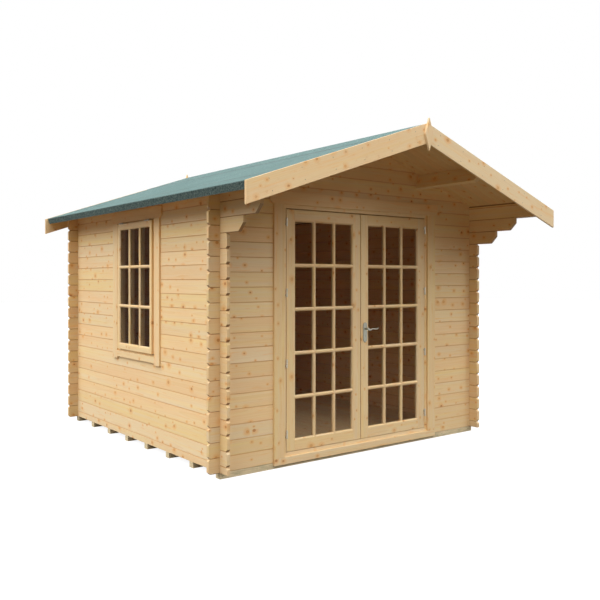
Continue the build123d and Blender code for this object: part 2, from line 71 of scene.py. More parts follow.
def calc(tree, operation, a, b=0.0, c=0.0):
    """One sum on two or three numbers."""
    return put(tree, "ShaderNodeMath", {0: a, 1: b, 2: c}, operation=operation).outputs[0]


def ramp(tree, value, low, high, to_low=0.0, to_high=1.0):
    """Carry value from low..high smoothly to another range, held at its ends."""
    made = put(tree, "ShaderNodeMapRange", {0: value, 1: low, 2: high, 3: to_low, 4: to_high},
               interpolation_type="SMOOTHSTEP")
    return made.outputs[0]


def tint(tree, factor, first, second, blend="MIX"):
    """Blend two colours."""
    made = tree.nodes.new("ShaderNodeMix")
    made.data_type = "RGBA"
    made.blend_type = blend
    feed(tree, made.inputs[0], factor)
    for socket, value in ((made.inputs[6], first), (made.inputs[7], second)):
        feed(tree, socket, value if isinstance(value, bpy.types.NodeSocket) else (*value, 1.0))
    return made.outputs[2]


def stretched(tree, vector, scale):
    """A vector scaled by a different amount each way."""
    made = put(tree, "ShaderNodeVectorMath", {0: vector, 1: scale}, operation="MULTIPLY")
    return made.outputs[0]


def noise(tree, vector, scale, detail=2.0, roughness=0.5):
    """Smooth noise from 0 to 1."""
    made = put(tree, "ShaderNodeTexNoise", {"Vector": stretched(tree, vector, scale), "Scale": 1.0,
                                            "Detail": detail, "Roughness": roughness})
    return made.outputs["Fac"]


def material(name):
    """A new material, its tree, its main shader and its object coordinates."""
    made = bpy.data.materials.new(name)
    made.use_nodes = True
    tree = made.node_tree
    tree.nodes.clear()
    shader = tree.nodes.new("ShaderNodeBsdfPrincipled")
    out = tree.nodes.new("ShaderNodeOutputMaterial")
    tree.links.new(shader.outputs[0], out.inputs[0])
    place = tree.nodes.new("ShaderNodeTexCoord").outputs["Object"]
    return made, tree, shader, place


def raise_surface(tree, shader, height, depth):
    """Bump a shader's surface, depth in metres."""
    made = put(tree, "ShaderNodeBump", {"Strength": 1.0, "Distance": depth, "Height": height})
    tree.links.new(made.outputs[0], shader.inputs["Normal"])


def dress(node, finish):
    """Give a CAD node its finish."""
    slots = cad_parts[node].data.materials
    slots.clear()
    slots.append(finish)


def sawn_bearer():
    """Sawn softwood with an uneven green preservative."""
    made, tree, shader, place = material("treated_bearer")
    stain = noise(tree, place, (9.0, 22.0, 40.0), 4.0, 0.62)
    moss = noise(tree, place, (26.0, 30.0, 60.0), 3.0, 0.55)
    streak = noise(tree, place, (5.0, 140.0, 140.0), 3.0, 0.6)
    saw = noise(tree, place, (260.0, 20.0, 20.0), 2.0, 0.5)
    faded = tint(tree, ramp(tree, streak, 0.35, 0.7), (0.80, 0.66, 0.42), (0.64, 0.51, 0.31))
    damp = tint(tree, ramp(tree, stain, 0.42, 0.7, 0.0, 0.65), faded, (0.46, 0.41, 0.24))
    green = tint(tree, ramp(tree, moss, 0.60, 0.74, 0.0, 0.8), damp, (0.29, 0.32, 0.16))
    shade = calc(tree, "MULTIPLY_ADD", saw, 0.25, 0.87)
    grey = put(tree, "ShaderNodeCombineColor", {0: shade, 1: shade, 2: shade}).outputs[0]
    tree.links.new(tint(tree, 1.0, green, grey, "MULTIPLY"), shader.inputs["Base Color"])
    shader.inputs["Roughness"].default_value = 0.85
    raise_surface(tree, shader, calc(tree, "ADD", saw, streak), 0.0012)
    return made


dress("floor_bearers", sawn_bearer())

# ---------------------------------------------------------------- floor boards
# The floor is tongued and grooved spruce, laid front to back and nailed down on the bearers.
# Each board shows a fine V along its joints, its own grain, and a few knots.
KNOT_NET = 9.2              # cells a metre in the net that places the knots


def pine_grain():
    """Shader group of planed pine: growth rings, fibres, and knots that the rings flow round.

    Grain is in metres: x along the board, y across its face and z through it, from its middle.
    Board is a number that differs from board to board."""
    tree = bpy.data.node_groups.new("planed_pine", "ShaderNodeTree")
    tree.interface.new_socket("Grain", in_out="INPUT", socket_type="NodeSocketVector")
    tree.interface.new_socket("Board", in_out="INPUT", socket_type="NodeSocketFloat")
    tree.interface.new_socket("Colour", in_out="OUTPUT", socket_type="NodeSocketColor")
    tree.interface.new_socket("Height", in_out="OUTPUT", socket_type="NodeSocketFloat")
    given = tree.nodes.new("NodeGroupInput")
    chance = put(tree, "ShaderNodeTexWhiteNoise", {"W": given.outputs["Board"]},
                 noise_dimensions="1D")
    red, green, blue = put(tree, "ShaderNodeSeparateColor", {0: chance.outputs["Color"]}).outputs[:3]
    along, across, through = put(tree, "ShaderNodeSeparateXYZ", {0: given.outputs["Grain"]}).outputs
    along = calc(tree, "MULTIPLY_ADD", red, 40.0, along)
    run = put(tree, "ShaderNodeCombineXYZ", {0: along, 1: across, 2: through}).outputs[0]

    # knots, one at most in each cell of a loose net over the face
    shifted = calc(tree, "MULTIPLY_ADD", green, 9.0, across)
    net = put(tree, "ShaderNodeCombineXYZ", {0: calc(tree, "MULTIPLY", along, 0.8), 1: shifted})
    cells = put(tree, "ShaderNodeTexVoronoi", {"Vector": net.outputs[0], "Scale": KNOT_NET},
                voronoi_dimensions="2D", feature="F1")
    away = calc(tree, "DIVIDE", cells.outputs["Distance"], KNOT_NET)
    one, two, three = put(tree, "ShaderNodeSeparateColor", {0: cells.outputs["Color"]}).outputs[:3]
    present = calc(tree, "GREATER_THAN", one, 0.36)
    radius = calc(tree, "MULTIPLY_ADD", calc(tree, "MULTIPLY", two, two), 0.0085, 0.0038)
    ratio = calc(tree, "DIVIDE", away, radius)
    core = calc(tree, "MULTIPLY", ramp(tree, ratio, 0.8, 1.15, 1.0, 0.0), present)
    rim = calc(tree, "MULTIPLY", ramp(tree, calc(tree, "ABSOLUTE", calc(tree, "SUBTRACT", ratio, 0.95)),
                                      0.0, 0.3, 1.0, 0.0), present)
    border = put(tree, "ShaderNodeTexVoronoi", {"Vector": net.outputs[0], "Scale": KNOT_NET},
                 voronoi_dimensions="2D", feature="DISTANCE_TO_EDGE")
    halo = calc(tree, "MULTIPLY", ramp(tree, ratio, 0.9, 4.2, 1.0, 0.0),
                calc(tree, "MULTIPLY", present, ramp(tree, border.outputs["Distance"], 0.01, 0.12)))
    centre = put(tree, "ShaderNodeSeparateXYZ", {0: cells.outputs["Position"]}).outputs[1]
    push = calc(tree, "MULTIPLY", calc(tree, "SUBTRACT", shifted, centre),
                calc(tree, "MULTIPLY", halo, -0.7))

    # growth rings about a pith that lies behind the face
    bent = calc(tree, "ADD", across, push)
    aside = calc(tree, "SUBTRACT", bent, calc(tree, "MULTIPLY_ADD", blue, 0.09, -0.045))
    behind = calc(tree, "SUBTRACT", through, calc(tree, "MULTIPLY_ADD", green, 0.05, 0.03))
    reach = calc(tree, "SQRT", calc(tree, "ADD", calc(tree, "MULTIPLY", aside, aside),
                                    calc(tree, "MULTIPLY", behind, behind)))
    sway = noise(tree, run, (0.8, 5.0, 5.0), 2.0)
    reach = calc(tree, "MULTIPLY_ADD", sway, 0.03, reach)
    mixed = put(tree, "ShaderNodeMix", {0: calc(tree, "MULTIPLY", halo, 0.5), 2: reach, 3: away})
    turn = calc(tree, "DIVIDE", mixed.outputs[0], calc(tree, "MULTIPLY_ADD", red, 0.003, 0.0055))
    late = calc(tree, "POWER", calc(tree, "FRACT", turn), 3.0)
    fibre = noise(tree, run, (5.0, 300.0, 300.0), 3.0, 0.6)
    cloud = noise(tree, run, (1.1, 12.0, 12.0), 3.0, 0.55)

    # colours
    band = noise(tree, run, (0.7, 34.0, 34.0), 2.0, 0.5)
    yellow = calc(tree, "MULTIPLY_ADD", band, 2.4, calc(tree, "MULTIPLY_ADD", blue, 0.9, -1.25))
    colour = tint(tree, yellow, (0.845, 0.662, 0.414), (0.875, 0.655, 0.312))
    rosy = calc(tree, "MULTIPLY_ADD", cloud, 2.6, calc(tree, "MULTIPLY_ADD", red, 0.9, -1.4))
    colour = tint(tree, rosy, colour, (0.865, 0.592, 0.318))
    resin = ramp(tree, noise(tree, run, (5.0, 60.0, 60.0), 3.0, 0.55), 0.56, 0.70, 0.0, 0.5)
    colour = tint(tree, resin, colour, (0.86, 0.50, 0.20))
    colour = tint(tree, calc(tree, "MULTIPLY", late, 0.20), colour, (0.68, 0.41, 0.16))
    colour = tint(tree, ramp(tree, fibre, 0.5, 0.8, 0.0, 0.12), colour, (0.64, 0.42, 0.20))
    colour = tint(tree, calc(tree, "MULTIPLY", halo, 0.58), colour, (0.84, 0.44, 0.14))
    knot = tint(tree, ramp(tree, three, 0.45, 1.0), (0.74, 0.37, 0.12), (0.52, 0.21, 0.07))
    colour = tint(tree, calc(tree, "MULTIPLY", core, 0.88), colour, knot)
    colour = tint(tree, calc(tree, "MULTIPLY", rim, 0.22), colour, (0.42, 0.18, 0.06))
    level = calc(tree, "MULTIPLY_ADD", green, 0.07, 0.965)
    grey = put(tree, "ShaderNodeCombineColor", {0: level, 1: level, 2: level}).outputs[0]
    colour = tint(tree, 1.0, colour, grey, "MULTIPLY")
    height = calc(tree, "SUBTRACT", calc(tree, "MULTIPLY_ADD", late, 0.4, fibre), core)
    put(tree, "NodeGroupOutput", {"Colour": colour, "Height": height})
    return tree


PINE = pine_grain()


def planed(tree, shader, grain, board, cut):
    """Planed pine for a shader, darker where cut is 1 and the wood shows its end grain."""
    wood = put(tree, "ShaderNodeGroup", {"Grain": grain, "Board": board}, node_tree=PINE)
    shader.inputs["Roughness"].default_value = 0.58
    shader.inputs["Specular IOR Level"].default_value = 0.35
    raise_surface(tree, shader, wood.outputs["Height"], 0.0003)
    return tint(tree, calc(tree, "MULTIPLY", cut, 0.15), wood.outputs["Colour"], (0.40, 0.22, 0.09))


def joinery_pine(name, shade=(1.0, 1.0, 1.0)):
    """Pine for cut pieces, which carry their own grain direction and board number. Its colour is multiplied
    by shade, a painted shade where it is not white.
    """
    made, tree, shader, place = material(name)
    grain = put(tree, "ShaderNodeAttribute", {}, attribute_name="grain").outputs["Vector"]
    board = put(tree, "ShaderNodeAttribute", {}, attribute_name="board").outputs["Fac"]
    cut = put(tree, "ShaderNodeAttribute", {}, attribute_name="cut").outputs["Fac"]
    wood = planed(tree, shader, grain, board, cut)
    # painted shade: the wood's colour is multiplied by shade
    tree.links.new(tint(tree, 1.0, wood, shade, "MULTIPLY"), shader.inputs["Base Color"])
    return made


JOINERY = joinery_pine("planed_pine_joinery")


def islands(mesh):
    """Number the separate solids of a mesh, one number a point."""
    owner = np.arange(len(mesh.vertices))
    pairs = np.empty(len(mesh.edges) * 2, dtype=np.int64)
    mesh.edges.foreach_get("vertices", pairs)
    first, second = pairs.reshape(-1, 2).T
    while True:
        low = np.minimum(owner[first], owner[second])
        before = owner.copy()
        np.minimum.at(owner, first, low)
        np.minimum.at(owner, second, low)
        owner = owner[owner]
        if (owner == before).all():
            return np.unique(owner, return_inverse=True)[1]


def run_grain(mesh, seed, along=None):
    """Note on every point where it lies in its own board, and on every face if it is end grain."""
    places = np.empty(len(mesh.vertices) * 3)
    mesh.vertices.foreach_get("co", places)
    places = places.reshape(-1, 3)
    grain = np.zeros_like(places)
    board = np.zeros(len(places))
    lengths = np.zeros_like(places)
    group = islands(mesh)
    for n in range(group.max() + 1):
        mine = places[group == n]
        middle = (mine.max(0) + mine.min(0)) / 2
        if along is None:
            axes = np.eye(3)[np.argsort(-(mine.max(0) - mine.min(0)))]
        else:
            first = np.array(along) / np.linalg.norm(along)
            second = np.cross((0.0, 1.0, 0.0) if abs(first[1]) < 0.9 else (0.0, 0.0, 1.0), first)
            axes = np.array([first, second, np.cross(first, second)])
            spans = np.ptp((mine - middle) @ axes.T, axis=0)
            if spans[2] > spans[1]:
                axes = axes[[0, 2, 1]]
        grain[group == n] = (mine - middle) @ axes.T
        board[group == n] = seed + n * 0.37
        lengths[group == n] = axes[0]
    mesh.attributes.new("grain", "FLOAT_VECTOR", "POINT").data.foreach_set("vector", grain.ravel())
    mesh.attributes.new("board", "FLOAT", "POINT").data.foreach_set("value", board)
    cut = [abs(f.normal.dot(lengths[f.vertices[0]])) > 0.6 for f in mesh.polygons]
    mesh.attributes.new("cut", "FLOAT", "FACE").data.foreach_set("value", np.array(cut, dtype=float))


def piece(name, mesh, finish, body):
    """Put a finished mesh in the scene, with its finish and the body it rides on."""
    made = bpy.data.objects.new(name, mesh)
    bpy.context.scene.collection.objects.link(made)
    if finish is not None:
        mesh.materials.clear()
        mesh.materials.append(finish)
    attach(made, body)
    return made


EDGE = 0.0015               # how far the corners of most planed pieces are taken off


def soften(bm, edge):
    """Take the sharpness off every corner of a cut piece."""
    sharp = [e for e in bm.edges if e.is_manifold and e.calc_face_angle(0.0) > 0.35]
    bmesh.ops.bevel(bm, geom=sharp, offset=edge, segments=2, profile=0.6, affect="EDGES",
                    clamp_overlap=True)


def to_mesh(name, bm):
    """Turn what has been built into a mesh."""
    mesh = bpy.data.meshes.new(name)
    bm.to_mesh(mesh)
    bm.free()
    return mesh


def box_into(bm, low, high):
    """Add a plain box between two corners to a mesh."""
    span = Vector(high) - Vector(low)
    made = bmesh.ops.create_cube(bm, size=1.0)
    bmesh.ops.scale(bm, vec=span, verts=made["verts"])
    bmesh.ops.translate(bm, vec=Vector(low) + span / 2, verts=made["verts"])


def skin(bm, outlines):
    """Close a row of like outlines into a solid, with its faces outward."""
    rings = [[bm.verts.new(p) for p in outline] for outline in outlines]
    faces = []
    for near, far in zip(rings, rings[1:]):
        for i in range(len(near)):
            j = (i + 1) % len(near)
            faces.append(bm.faces.new((near[i], near[j], far[j], far[i])))
    faces.append(bm.faces.new(list(reversed(rings[0]))))
    faces.append(bm.faces.new(rings[-1]))
    bmesh.ops.recalc_face_normals(bm, faces=faces)


def set_out_tree():
    """Geometry Nodes: repeat one piece in rows, with a little play and a board number each."""
    tree = bpy.data.node_groups.new("set_out", "GeometryNodeTree")
    for name, kind in (("Piece", "Geometry"), ("Across", "Int"), ("Step Across", "Vector"),
                       ("Up", "Int"), ("Step Up", "Vector"), ("Play", "Vector"), ("Seed", "Int"),
                       ("Finish", "Material")):
        tree.interface.new_socket(name, in_out="INPUT", socket_type="NodeSocket" + kind)
    tree.interface.new_socket("Laid", in_out="OUTPUT", socket_type="NodeSocketGeometry")
    given = tree.nodes.new("NodeGroupInput").outputs
    row = put(tree, "GeometryNodeMeshLine", {"Count": given["Across"], "Offset": given["Step Across"]},
              mode="OFFSET")
    column = put(tree, "GeometryNodeMeshLine", {"Count": given["Up"], "Offset": given["Step Up"]},
                 mode="OFFSET")
    net = put(tree, "GeometryNodeInstanceOnPoints", {"Points": column.outputs[0],
                                                     "Instance": row.outputs[0]})
    net = put(tree, "GeometryNodeRealizeInstances", {"Geometry": net.outputs[0]})
    index = tree.nodes.new("GeometryNodeInputIndex").outputs[0]
    back = put(tree, "ShaderNodeVectorMath", {0: given["Play"], "Scale": -1.0}, operation="SCALE")
    play = put(tree, "FunctionNodeRandomValue", {0: back.outputs[0], 1: given["Play"], "ID": index,
                                                 "Seed": given["Seed"]}, data_type="FLOAT_VECTOR")
    number = put(tree, "FunctionNodeRandomValue", {2: 0.0, 3: 900.0, "ID": index,
                                                   "Seed": given["Seed"]}, data_type="FLOAT")
    loose = put(tree, "GeometryNodeSetPosition", {"Geometry": net.outputs[0],
                                                  "Offset": play.outputs[0]})
    laid = put(tree, "GeometryNodeInstanceOnPoints", {"Points": loose.outputs[0],
                                                      "Instance": given["Piece"]})
    named = put(tree, "GeometryNodeStoreNamedAttribute", {"Geometry": laid.outputs[0],
                                                          "Name": "batch", "Value": number.outputs[1]},
                data_type="FLOAT", domain="INSTANCE")
    real = put(tree, "GeometryNodeRealizeInstances", {"Geometry": named.outputs[0]})
    done = put(tree, "GeometryNodeSetMaterial", {"Geometry": real.outputs[0],
                                                 "Material": given["Finish"]})
    put(tree, "NodeGroupOutput", {"Laid": done.outputs[0]})
    return tree


SET_OUT = set_out_tree()


def set_out(name, mesh, finish, across=1, step_across=(0, 0, 0), up=1, step_up=(0, 0, 0),
            play=(0, 0, 0), seed=1):
    """Repeat a mesh with the set_out tree, and return the result as one plain mesh."""
    carrier = bpy.data.objects.new(name + "_pattern", mesh)
    bpy.context.scene.collection.objects.link(carrier)
    rows = carrier.modifiers.new("rows", "NODES")
    rows.node_group = SET_OUT
    values = {"Across": across, "Step Across": step_across, "Up": up, "Step Up": step_up,
              "Play": play, "Seed": seed, "Finish": finish}
    for socket in SET_OUT.interface.items_tree:
        if socket.name in values:
            rows[socket.identifier] = values[socket.name]
    seen = carrier.evaluated_get(bpy.context.evaluated_depsgraph_get())
    made = bpy.data.meshes.new_from_object(seen)
    made.name = name
    carrier.modifiers.remove(rows)
    bpy.data.objects.remove(carrier)
    if "board" in made.attributes:
        own = np.empty(len(made.vertices))
        made.attributes["board"].data.foreach_get("value", own)
        batch = np.empty(len(made.vertices))
        made.attributes["batch"].data.foreach_get("value", batch)
        made.attributes["board"].data.foreach_set("value", own + batch)
    return made


def laid(name, bm, grain, finish, body, slot, along=None, **rows):
    """Make a piece of bm, repeat it with set_out, and put the rows on the body they ride on."""
    mesh = to_mesh(name + "_one", bm)
    if grain is not None:
        run_grain(mesh, grain, along)
    return piece(name, set_out(name, mesh, finish, **rows), None, body)


OPEN_JOINT = 0.0003         # kept clear on both sides of a board
VEE = 0.0025


def board_section(wide, back, face):
    """A board's section (across, deep) from back to face, with its edges cut to a V at the face."""
    half = wide / 2 - OPEN_JOINT
    shy = face - math.copysign(VEE, face - back)
    return [(-half, back), (half, back), (half, shy), (half - VEE, face), (VEE - half, face),
            (-half, shy)]


FLOOR_BOARDS = 30
floor_low, floor_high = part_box("floor_boards")
floor_step = (floor_high.x - floor_low.x) / FLOOR_BOARDS
first_x = floor_low.x + floor_step / 2
section = board_section(floor_step, floor_low.z, floor_high.z)
bm = bmesh.new()
skin(bm, [[(first_x + x, y, z) for x, z in section] for y in (floor_low.y, floor_high.y)])
boards = laid("floor_boarding", bm, 3.1, JOINERY, "cabin", "pine",
              across=FLOOR_BOARDS, step_across=(floor_step, 0, 0), seed=4)
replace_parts(boards, "floor_boards")

# ---------------------------------------------------------------- log walls
# Planed spruce logs, 28 mm thick, lie on one another with tongues and grooves and a V at every
# joint. They cross and interlock at the corners, where each runs on to a bevelled tip. The side
# walls start with half a log, so their joints fall half a log above those of the front.
LOG_HEIGHT = 0.114
LOG_THICK = 0.028
CLEAR_OF_ROOF = 9.0         # higher than the cabin, for a wall that no roof board lies on and that gets no painted shadow line
TIPS_LIT = (1.0, 1.0, 1.0)     # tint of the tips' faces that get no painted shade
TIPS_SHADED = (0.87, 0.86, 0.85)  # painted shade on the tips' faces
half_course = LOG_HEIGHT / 2
log_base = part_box("front_sill_log")[0].z
front_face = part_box("front_wall_left")[0].y
back_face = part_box("back_wall")[1].y
left_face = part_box("left_wall_lower")[0].x
right_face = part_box("right_wall")[1].x
side_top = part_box("right_wall")[1].z


def log_pine(name, lengthwise, face, seed, top=CLEAR_OF_ROOF, inner_shade_tint=(0.96, 0.82, 0.66),
             tip_shade_tint=TIPS_SHADED):
    """Pine for a wall of logs, which run along the axis lengthwise: x in front and behind, y at
    the sides. The wall's outer face lies at face on the other axis. Between the corners the inner
    face is multiplied by inner_shade_tint, painted shade and warm bounce light, and at the height
    top a painted shadow line divides it from the roof boards. Past the crossing the faces of the
    tips take tip_shade_tint, painted shade, and their down-facing bevels are darkened with painted
    shade."""
    made, tree, shader, place = material(name)
    x, y, z = put(tree, "ShaderNodeSeparateXYZ", {0: place}).outputs
    if lengthwise == "x":
        along, across, base, start, end = x, y, log_base, left_face, right_face
    else:
        along, across, base, start, end = y, x, log_base + half_course, front_face, back_face
    course = calc(tree, "DIVIDE", calc(tree, "SUBTRACT", z, base), LOG_HEIGHT)
    whole = calc(tree, "FLOOR", course)
    up = calc(tree, "MULTIPLY", calc(tree, "SUBTRACT", calc(tree, "FRACT", course), 0.5), LOG_HEIGHT)
    depth = calc(tree, "ABSOLUTE", calc(tree, "SUBTRACT", across, face))
    grain = put(tree, "ShaderNodeCombineXYZ", {0: along, 1: up, 2: depth}).outputs[0]
    normal = tree.nodes.new("ShaderNodeTexCoord").outputs["Normal"]
    facing = put(tree, "ShaderNodeSeparateXYZ", {0: normal}).outputs
    cut = ramp(tree, calc(tree, "ABSOLUTE", facing[lengthwise.upper()]), 0.75, 0.9)
    wood = planed(tree, shader, grain, calc(tree, "MULTIPLY_ADD", whole, 1.71, seed), cut)
    joint = ramp(tree, calc(tree, "ABSOLUTE", up), half_course - 0.0055, half_course - 0.002, 0.0, 0.6)
    wood = tint(tree, joint, wood, (0.60, 0.29, 0.10))
    inner = ramp(tree, depth, LOG_THICK - 0.004, LOG_THICK - 0.001)
    # painted shadow: a dark band along the top of the inner face, where the roof boards meet it
    under = calc(tree, "MULTIPLY", inner, ramp(tree, z, top - 0.014, top - 0.010, 0.0, 0.8))
    wood = tint(tree, under, wood, (0.16, 0.06, 0.02))
    within = calc(tree, "COMPARE", along, (start + end) / 2, (end - start) / 2 - LOG_THICK)
    past = calc(tree, "SUBTRACT", 1.0, within)
    # painted shade: down-facing faces of the tips past the crossing are darkened
    below = calc(tree, "MULTIPLY", ramp(tree, facing["Z"], -0.65, -0.45, 1.0, 0.0), past)
    wood = tint(tree, below, wood, (0.50, 0.42, 0.36), "MULTIPLY")
    # painted shade: the tips' faces past the crossing take tip_shade_tint
    tip = calc(tree, "MULTIPLY", past, calc(tree, "SUBTRACT", 1.0, cut))
    wood = tint(tree, tip, wood, tip_shade_tint, "MULTIPLY")
    # painted shade and warm bounce light: the inner face between the corners takes inner_shade_tint
    wood = tint(tree, calc(tree, "MULTIPLY", inner, within), wood, inner_shade_tint, "MULTIPLY")
    tree.links.new(wood, shader.inputs["Base Color"])
    return made


# the sill's and the front wall's left part's tips take painted shade; the right part's and the gable's don't
for node, seed, tip_shade_tint in (("front_sill_log", 5.0, TIPS_SHADED), ("front_wall_left", 5.0, TIPS_SHADED),
                             ("front_wall_right", 61.3, TIPS_LIT), ("front_gable", 17.7, TIPS_LIT)):
    dress(node, log_pine(node + "_pine", "x", front_face, seed, tip_shade_tint=tip_shade_tint))
# the back wall's and back gable's inner faces take a darker painted shade
for node, seed in (("back_wall", 201.0), ("back_gable", 251.9)):
    dress(node, log_pine(node + "_pine", "x", back_face, seed, inner_shade_tint=(0.74, 0.58, 0.44)))
for node, seed in (("left_wall_lower", 33.0), ("left_wall_front", 91.0), ("left_wall_rear", 33.0),
                   ("left_wall_top", 43.0)):
    dress(node, log_pine(node + "_pine", "y", left_face, seed, side_top))
# the right wall's inner face takes painted warm bounce light, and its tips no painted shade
dress("right_wall", log_pine("right_wall_pine", "y", right_face, 151.0, side_top, (1.10, 0.97, 0.81),
                             TIPS_LIT))

# the tongues, one in each joint between two logs, run between the corners and the openings
TONGUE = 0.008
SHORT = 0.002               # a tongue stops this far from an opening
CROSS = 0.07                # and runs this far past a corner
bearer_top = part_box("floor_bearers")[1].z
front_y = front_face + LOG_THICK / 2
back_y = back_face - LOG_THICK / 2
left_x = left_face + LOG_THICK / 2
right_x = right_face - LOG_THICK / 2
door_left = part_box("front_wall_left")[1].x
door_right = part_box("front_wall_right")[0].x
sash_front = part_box("left_wall_front")[1].y
sash_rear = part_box("left_wall_rear")[0].y
sash_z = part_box("left_wall_front")[0].z
over_sill = bearer_top + LOG_HEIGHT
over_half = bearer_top + half_course
for name, start, end, count in (
        ("front_left", (left_face - CROSS, front_y, over_sill), (door_left - SHORT, front_y), 18),
        ("front_right", (door_right + SHORT, front_y, over_sill), (right_face + CROSS, front_y), 18),
        ("back", (left_face - CROSS, back_y, over_sill), (right_face + CROSS, back_y), 18),
        ("right", (right_x, front_face - CROSS, over_half), (right_x, back_face + CROSS), 18),
        ("left_lower", (left_x, front_face - CROSS, over_half), (left_x, back_face + CROSS), 6),
        ("left_front", (left_x, front_face - CROSS, sash_z), (left_x, sash_front - SHORT), 12),
        ("left_rear", (left_x, sash_rear + SHORT, sash_z), (left_x, back_face + CROSS), 12)):
    half = TONGUE / 2
    lengthwise = 0 if start[1] == end[1] else 1
    low = [start[0] - half, start[1] - half, start[2] - half]
    high = [end[0] + half, end[1] + half, start[2] + half]
    low[lengthwise] = start[lengthwise]
    high[lengthwise] = end[lengthwise]
    bm = bmesh.new()
    box_into(bm, low, high)
    soften(bm, EDGE)
    laid("log_tongues_" + name, bm, 3.0, JOINERY, "cabin", "pine",
         up=count, step_up=(0, 0, LOG_HEIGHT), seed=20 + count)

# ---------------------------------------------------------------- purlins
# Three planed beams run the whole length of the roof, let into both gables. Their front ends
# are cut back on the slant below.


def merged_copy(nodes, side=0):
    """A mesh of CAD nodes, or of what they have on one side of the ridge, its triangles merged."""
    bm = bmesh.new()
    for node in nodes:
        bm.from_mesh(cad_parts[node].data)
    if side:
        away = [v for v in bm.verts if v.co.x * side < 0]
        bmesh.ops.delete(bm, geom=away, context="VERTS")
    bmesh.ops.remove_doubles(bm, verts=bm.verts, dist=1e-5)
    bmesh.ops.dissolve_limit(bm, angle_limit=0.01, verts=bm.verts, edges=bm.edges)
    return bm


def cut_piece(name, nodes, edge, seed, along=None, side=0):
    """Stand a piece with softened edges in for CAD nodes that have the right shape."""
    bm = merged_copy(nodes, side)
    soften(bm, edge)
    mesh = to_mesh(name, bm)
    run_grain(mesh, seed, along)
    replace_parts(piece(name, mesh, JOINERY, "cabin"), *nodes)


for name, seed in (("ridge_purlin", 11.3), ("left_purlin", 12.9), ("right_purlin", 14.2)):
    cut_piece(name + "_beam", [name], 0.003, seed, along=(0, 1, 0))

# ---------------------------------------------------------------- roof boards
# Thin tongued and grooved boards run down each slope from the ridge, nailed to the purlins.
# The canopy shows their planed underside, with a V at every joint.
SLOPES = ((-1, "left"), (1, "right"))
PITCH = math.radians(19.0)
ROOF_BOARDS = 41
BOARD_THICK = 0.018
FELT_THICK = 0.0025
RIDGE_JOINT = 0.0004
roof_low, roof_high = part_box("roof_boards_left")
roof_step = (roof_high.y - roof_low.y) / ROOF_BOARDS
felt_low, felt_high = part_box("roof_felt_left")


def slope_point(side, along, deep, y=0.0):
    """A point of a roof slope: along it from the ridge, and deep under the felt's top."""
    x = along * math.cos(PITCH) - deep * math.sin(PITCH)
    z = felt_high.z - along * math.sin(PITCH) - deep * math.cos(PITCH)
    return Vector((side * x, y, z))


def down_slope(side, length=1.0):
    """The way down a roof slope."""
    return Vector((side * length * math.cos(PITCH), 0, -length * math.sin(PITCH)))


# the roof boards' colour is darkened by painted shade
ROOF_PINE = joinery_pine("roof_board_pine", (0.88, 0.85, 0.80))
eaves_along = (abs(roof_low.x) + FELT_THICK * math.sin(PITCH)) / math.cos(PITCH)
first_y = roof_low.y + roof_step / 2
section = board_section(roof_step, FELT_THICK, FELT_THICK + BOARD_THICK)
for side, name in SLOPES:
    ridge_end = [slope_point(side, deep * math.tan(PITCH) + RIDGE_JOINT, deep, first_y + y)
                 for y, deep in section]
    eaves_end = [slope_point(side, eaves_along, deep, first_y + y) for y, deep in section]
    bm = bmesh.new()
    skin(bm, [ridge_end, eaves_end])
    boards = laid("roof_boarding_" + name, bm, 7.7, ROOF_PINE, "cabin", "pine", along=down_slope(side),
                  across=ROOF_BOARDS, step_across=(0, roof_step, 0), seed=8 + side)
    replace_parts(boards, "roof_boards_" + name)
cut_piece("eaves_battens", ["eaves_strips"], 0.001, 21.0, along=(0, 1, 0))

# ---------------------------------------------------------------- roofing felt
# Bitumen felt faced with pale green mineral grit, laid in sheets that run the length of the
# roof. Each lower sheet is lapped by the one above and stuck down with bitumen, the last is a
# cap over the ridge, and the first is turned down over the eaves, where it is nailed.
LAP_LOW = 1.512             # the middle sheet's lower edge, down the slope from the ridge
LAP_RIDGE = 0.560           # the ridge cap's
LAP = 0.075
LAP_RISE = 0.0012
APRON = 0.058
FOLD = 0.007
CAP_BEND = 0.012            # the ridge cap bends this far from the ridge
FELT_STEPS = 76
FELT_WANDER = 0.0012        # how far a sheet's free edge wanders


def gritted(name, light, dark, coarse, contrast):
    """Felt faced with mineral grit of two colours."""
    made, tree, shader, place = material(name)
    grain = noise(tree, place, (coarse, coarse, coarse), 2.0, 0.7)
    clump = noise(tree, place, (95.0, 95.0, 95.0), 2.0, 0.5)
    speck = put(tree, "ShaderNodeTexVoronoi", {"Vector": place, "Scale": coarse * 1.4})
    cloud = noise(tree, place, (2.2, 1.1, 2.2), 3.0, 0.6)
    level = calc(tree, "MULTIPLY_ADD", cloud, 0.3, calc(tree, "MULTIPLY", grain, 0.6))
    level = calc(tree, "MULTIPLY_ADD", clump, contrast, level)
    middle = 0.45 + contrast / 2
    colour = tint(tree, ramp(tree, level, middle - 0.22, middle + 0.22), dark, light)
    pale = ramp(tree, put(tree, "ShaderNodeSeparateColor", {0: speck.outputs["Color"]}).outputs[0],
                0.86, 0.93, 0.0, 0.5)
    colour = tint(tree, pale, colour, tuple(min(1.0, c * 1.5) for c in light))
    tree.links.new(colour, shader.inputs["Base Color"])
    shader.inputs["Roughness"].default_value = 0.95
    shader.inputs["Specular IOR Level"].default_value = 0.12
    raise_surface(tree, shader, calc(tree, "ADD", grain, speck.outputs["Distance"]), 0.0012)
    return made


FELT = gritted("green_mineral_felt", (0.141, 0.223, 0.214), (0.090, 0.148, 0.142), 300.0, 0.35)
FELT_EDGE = gritted("felt_apron", (0.150, 0.205, 0.195), (0.035, 0.062, 0.060), 110.0, 0.9)
eaves_edge = abs(felt_low.x) / math.cos(PITCH)


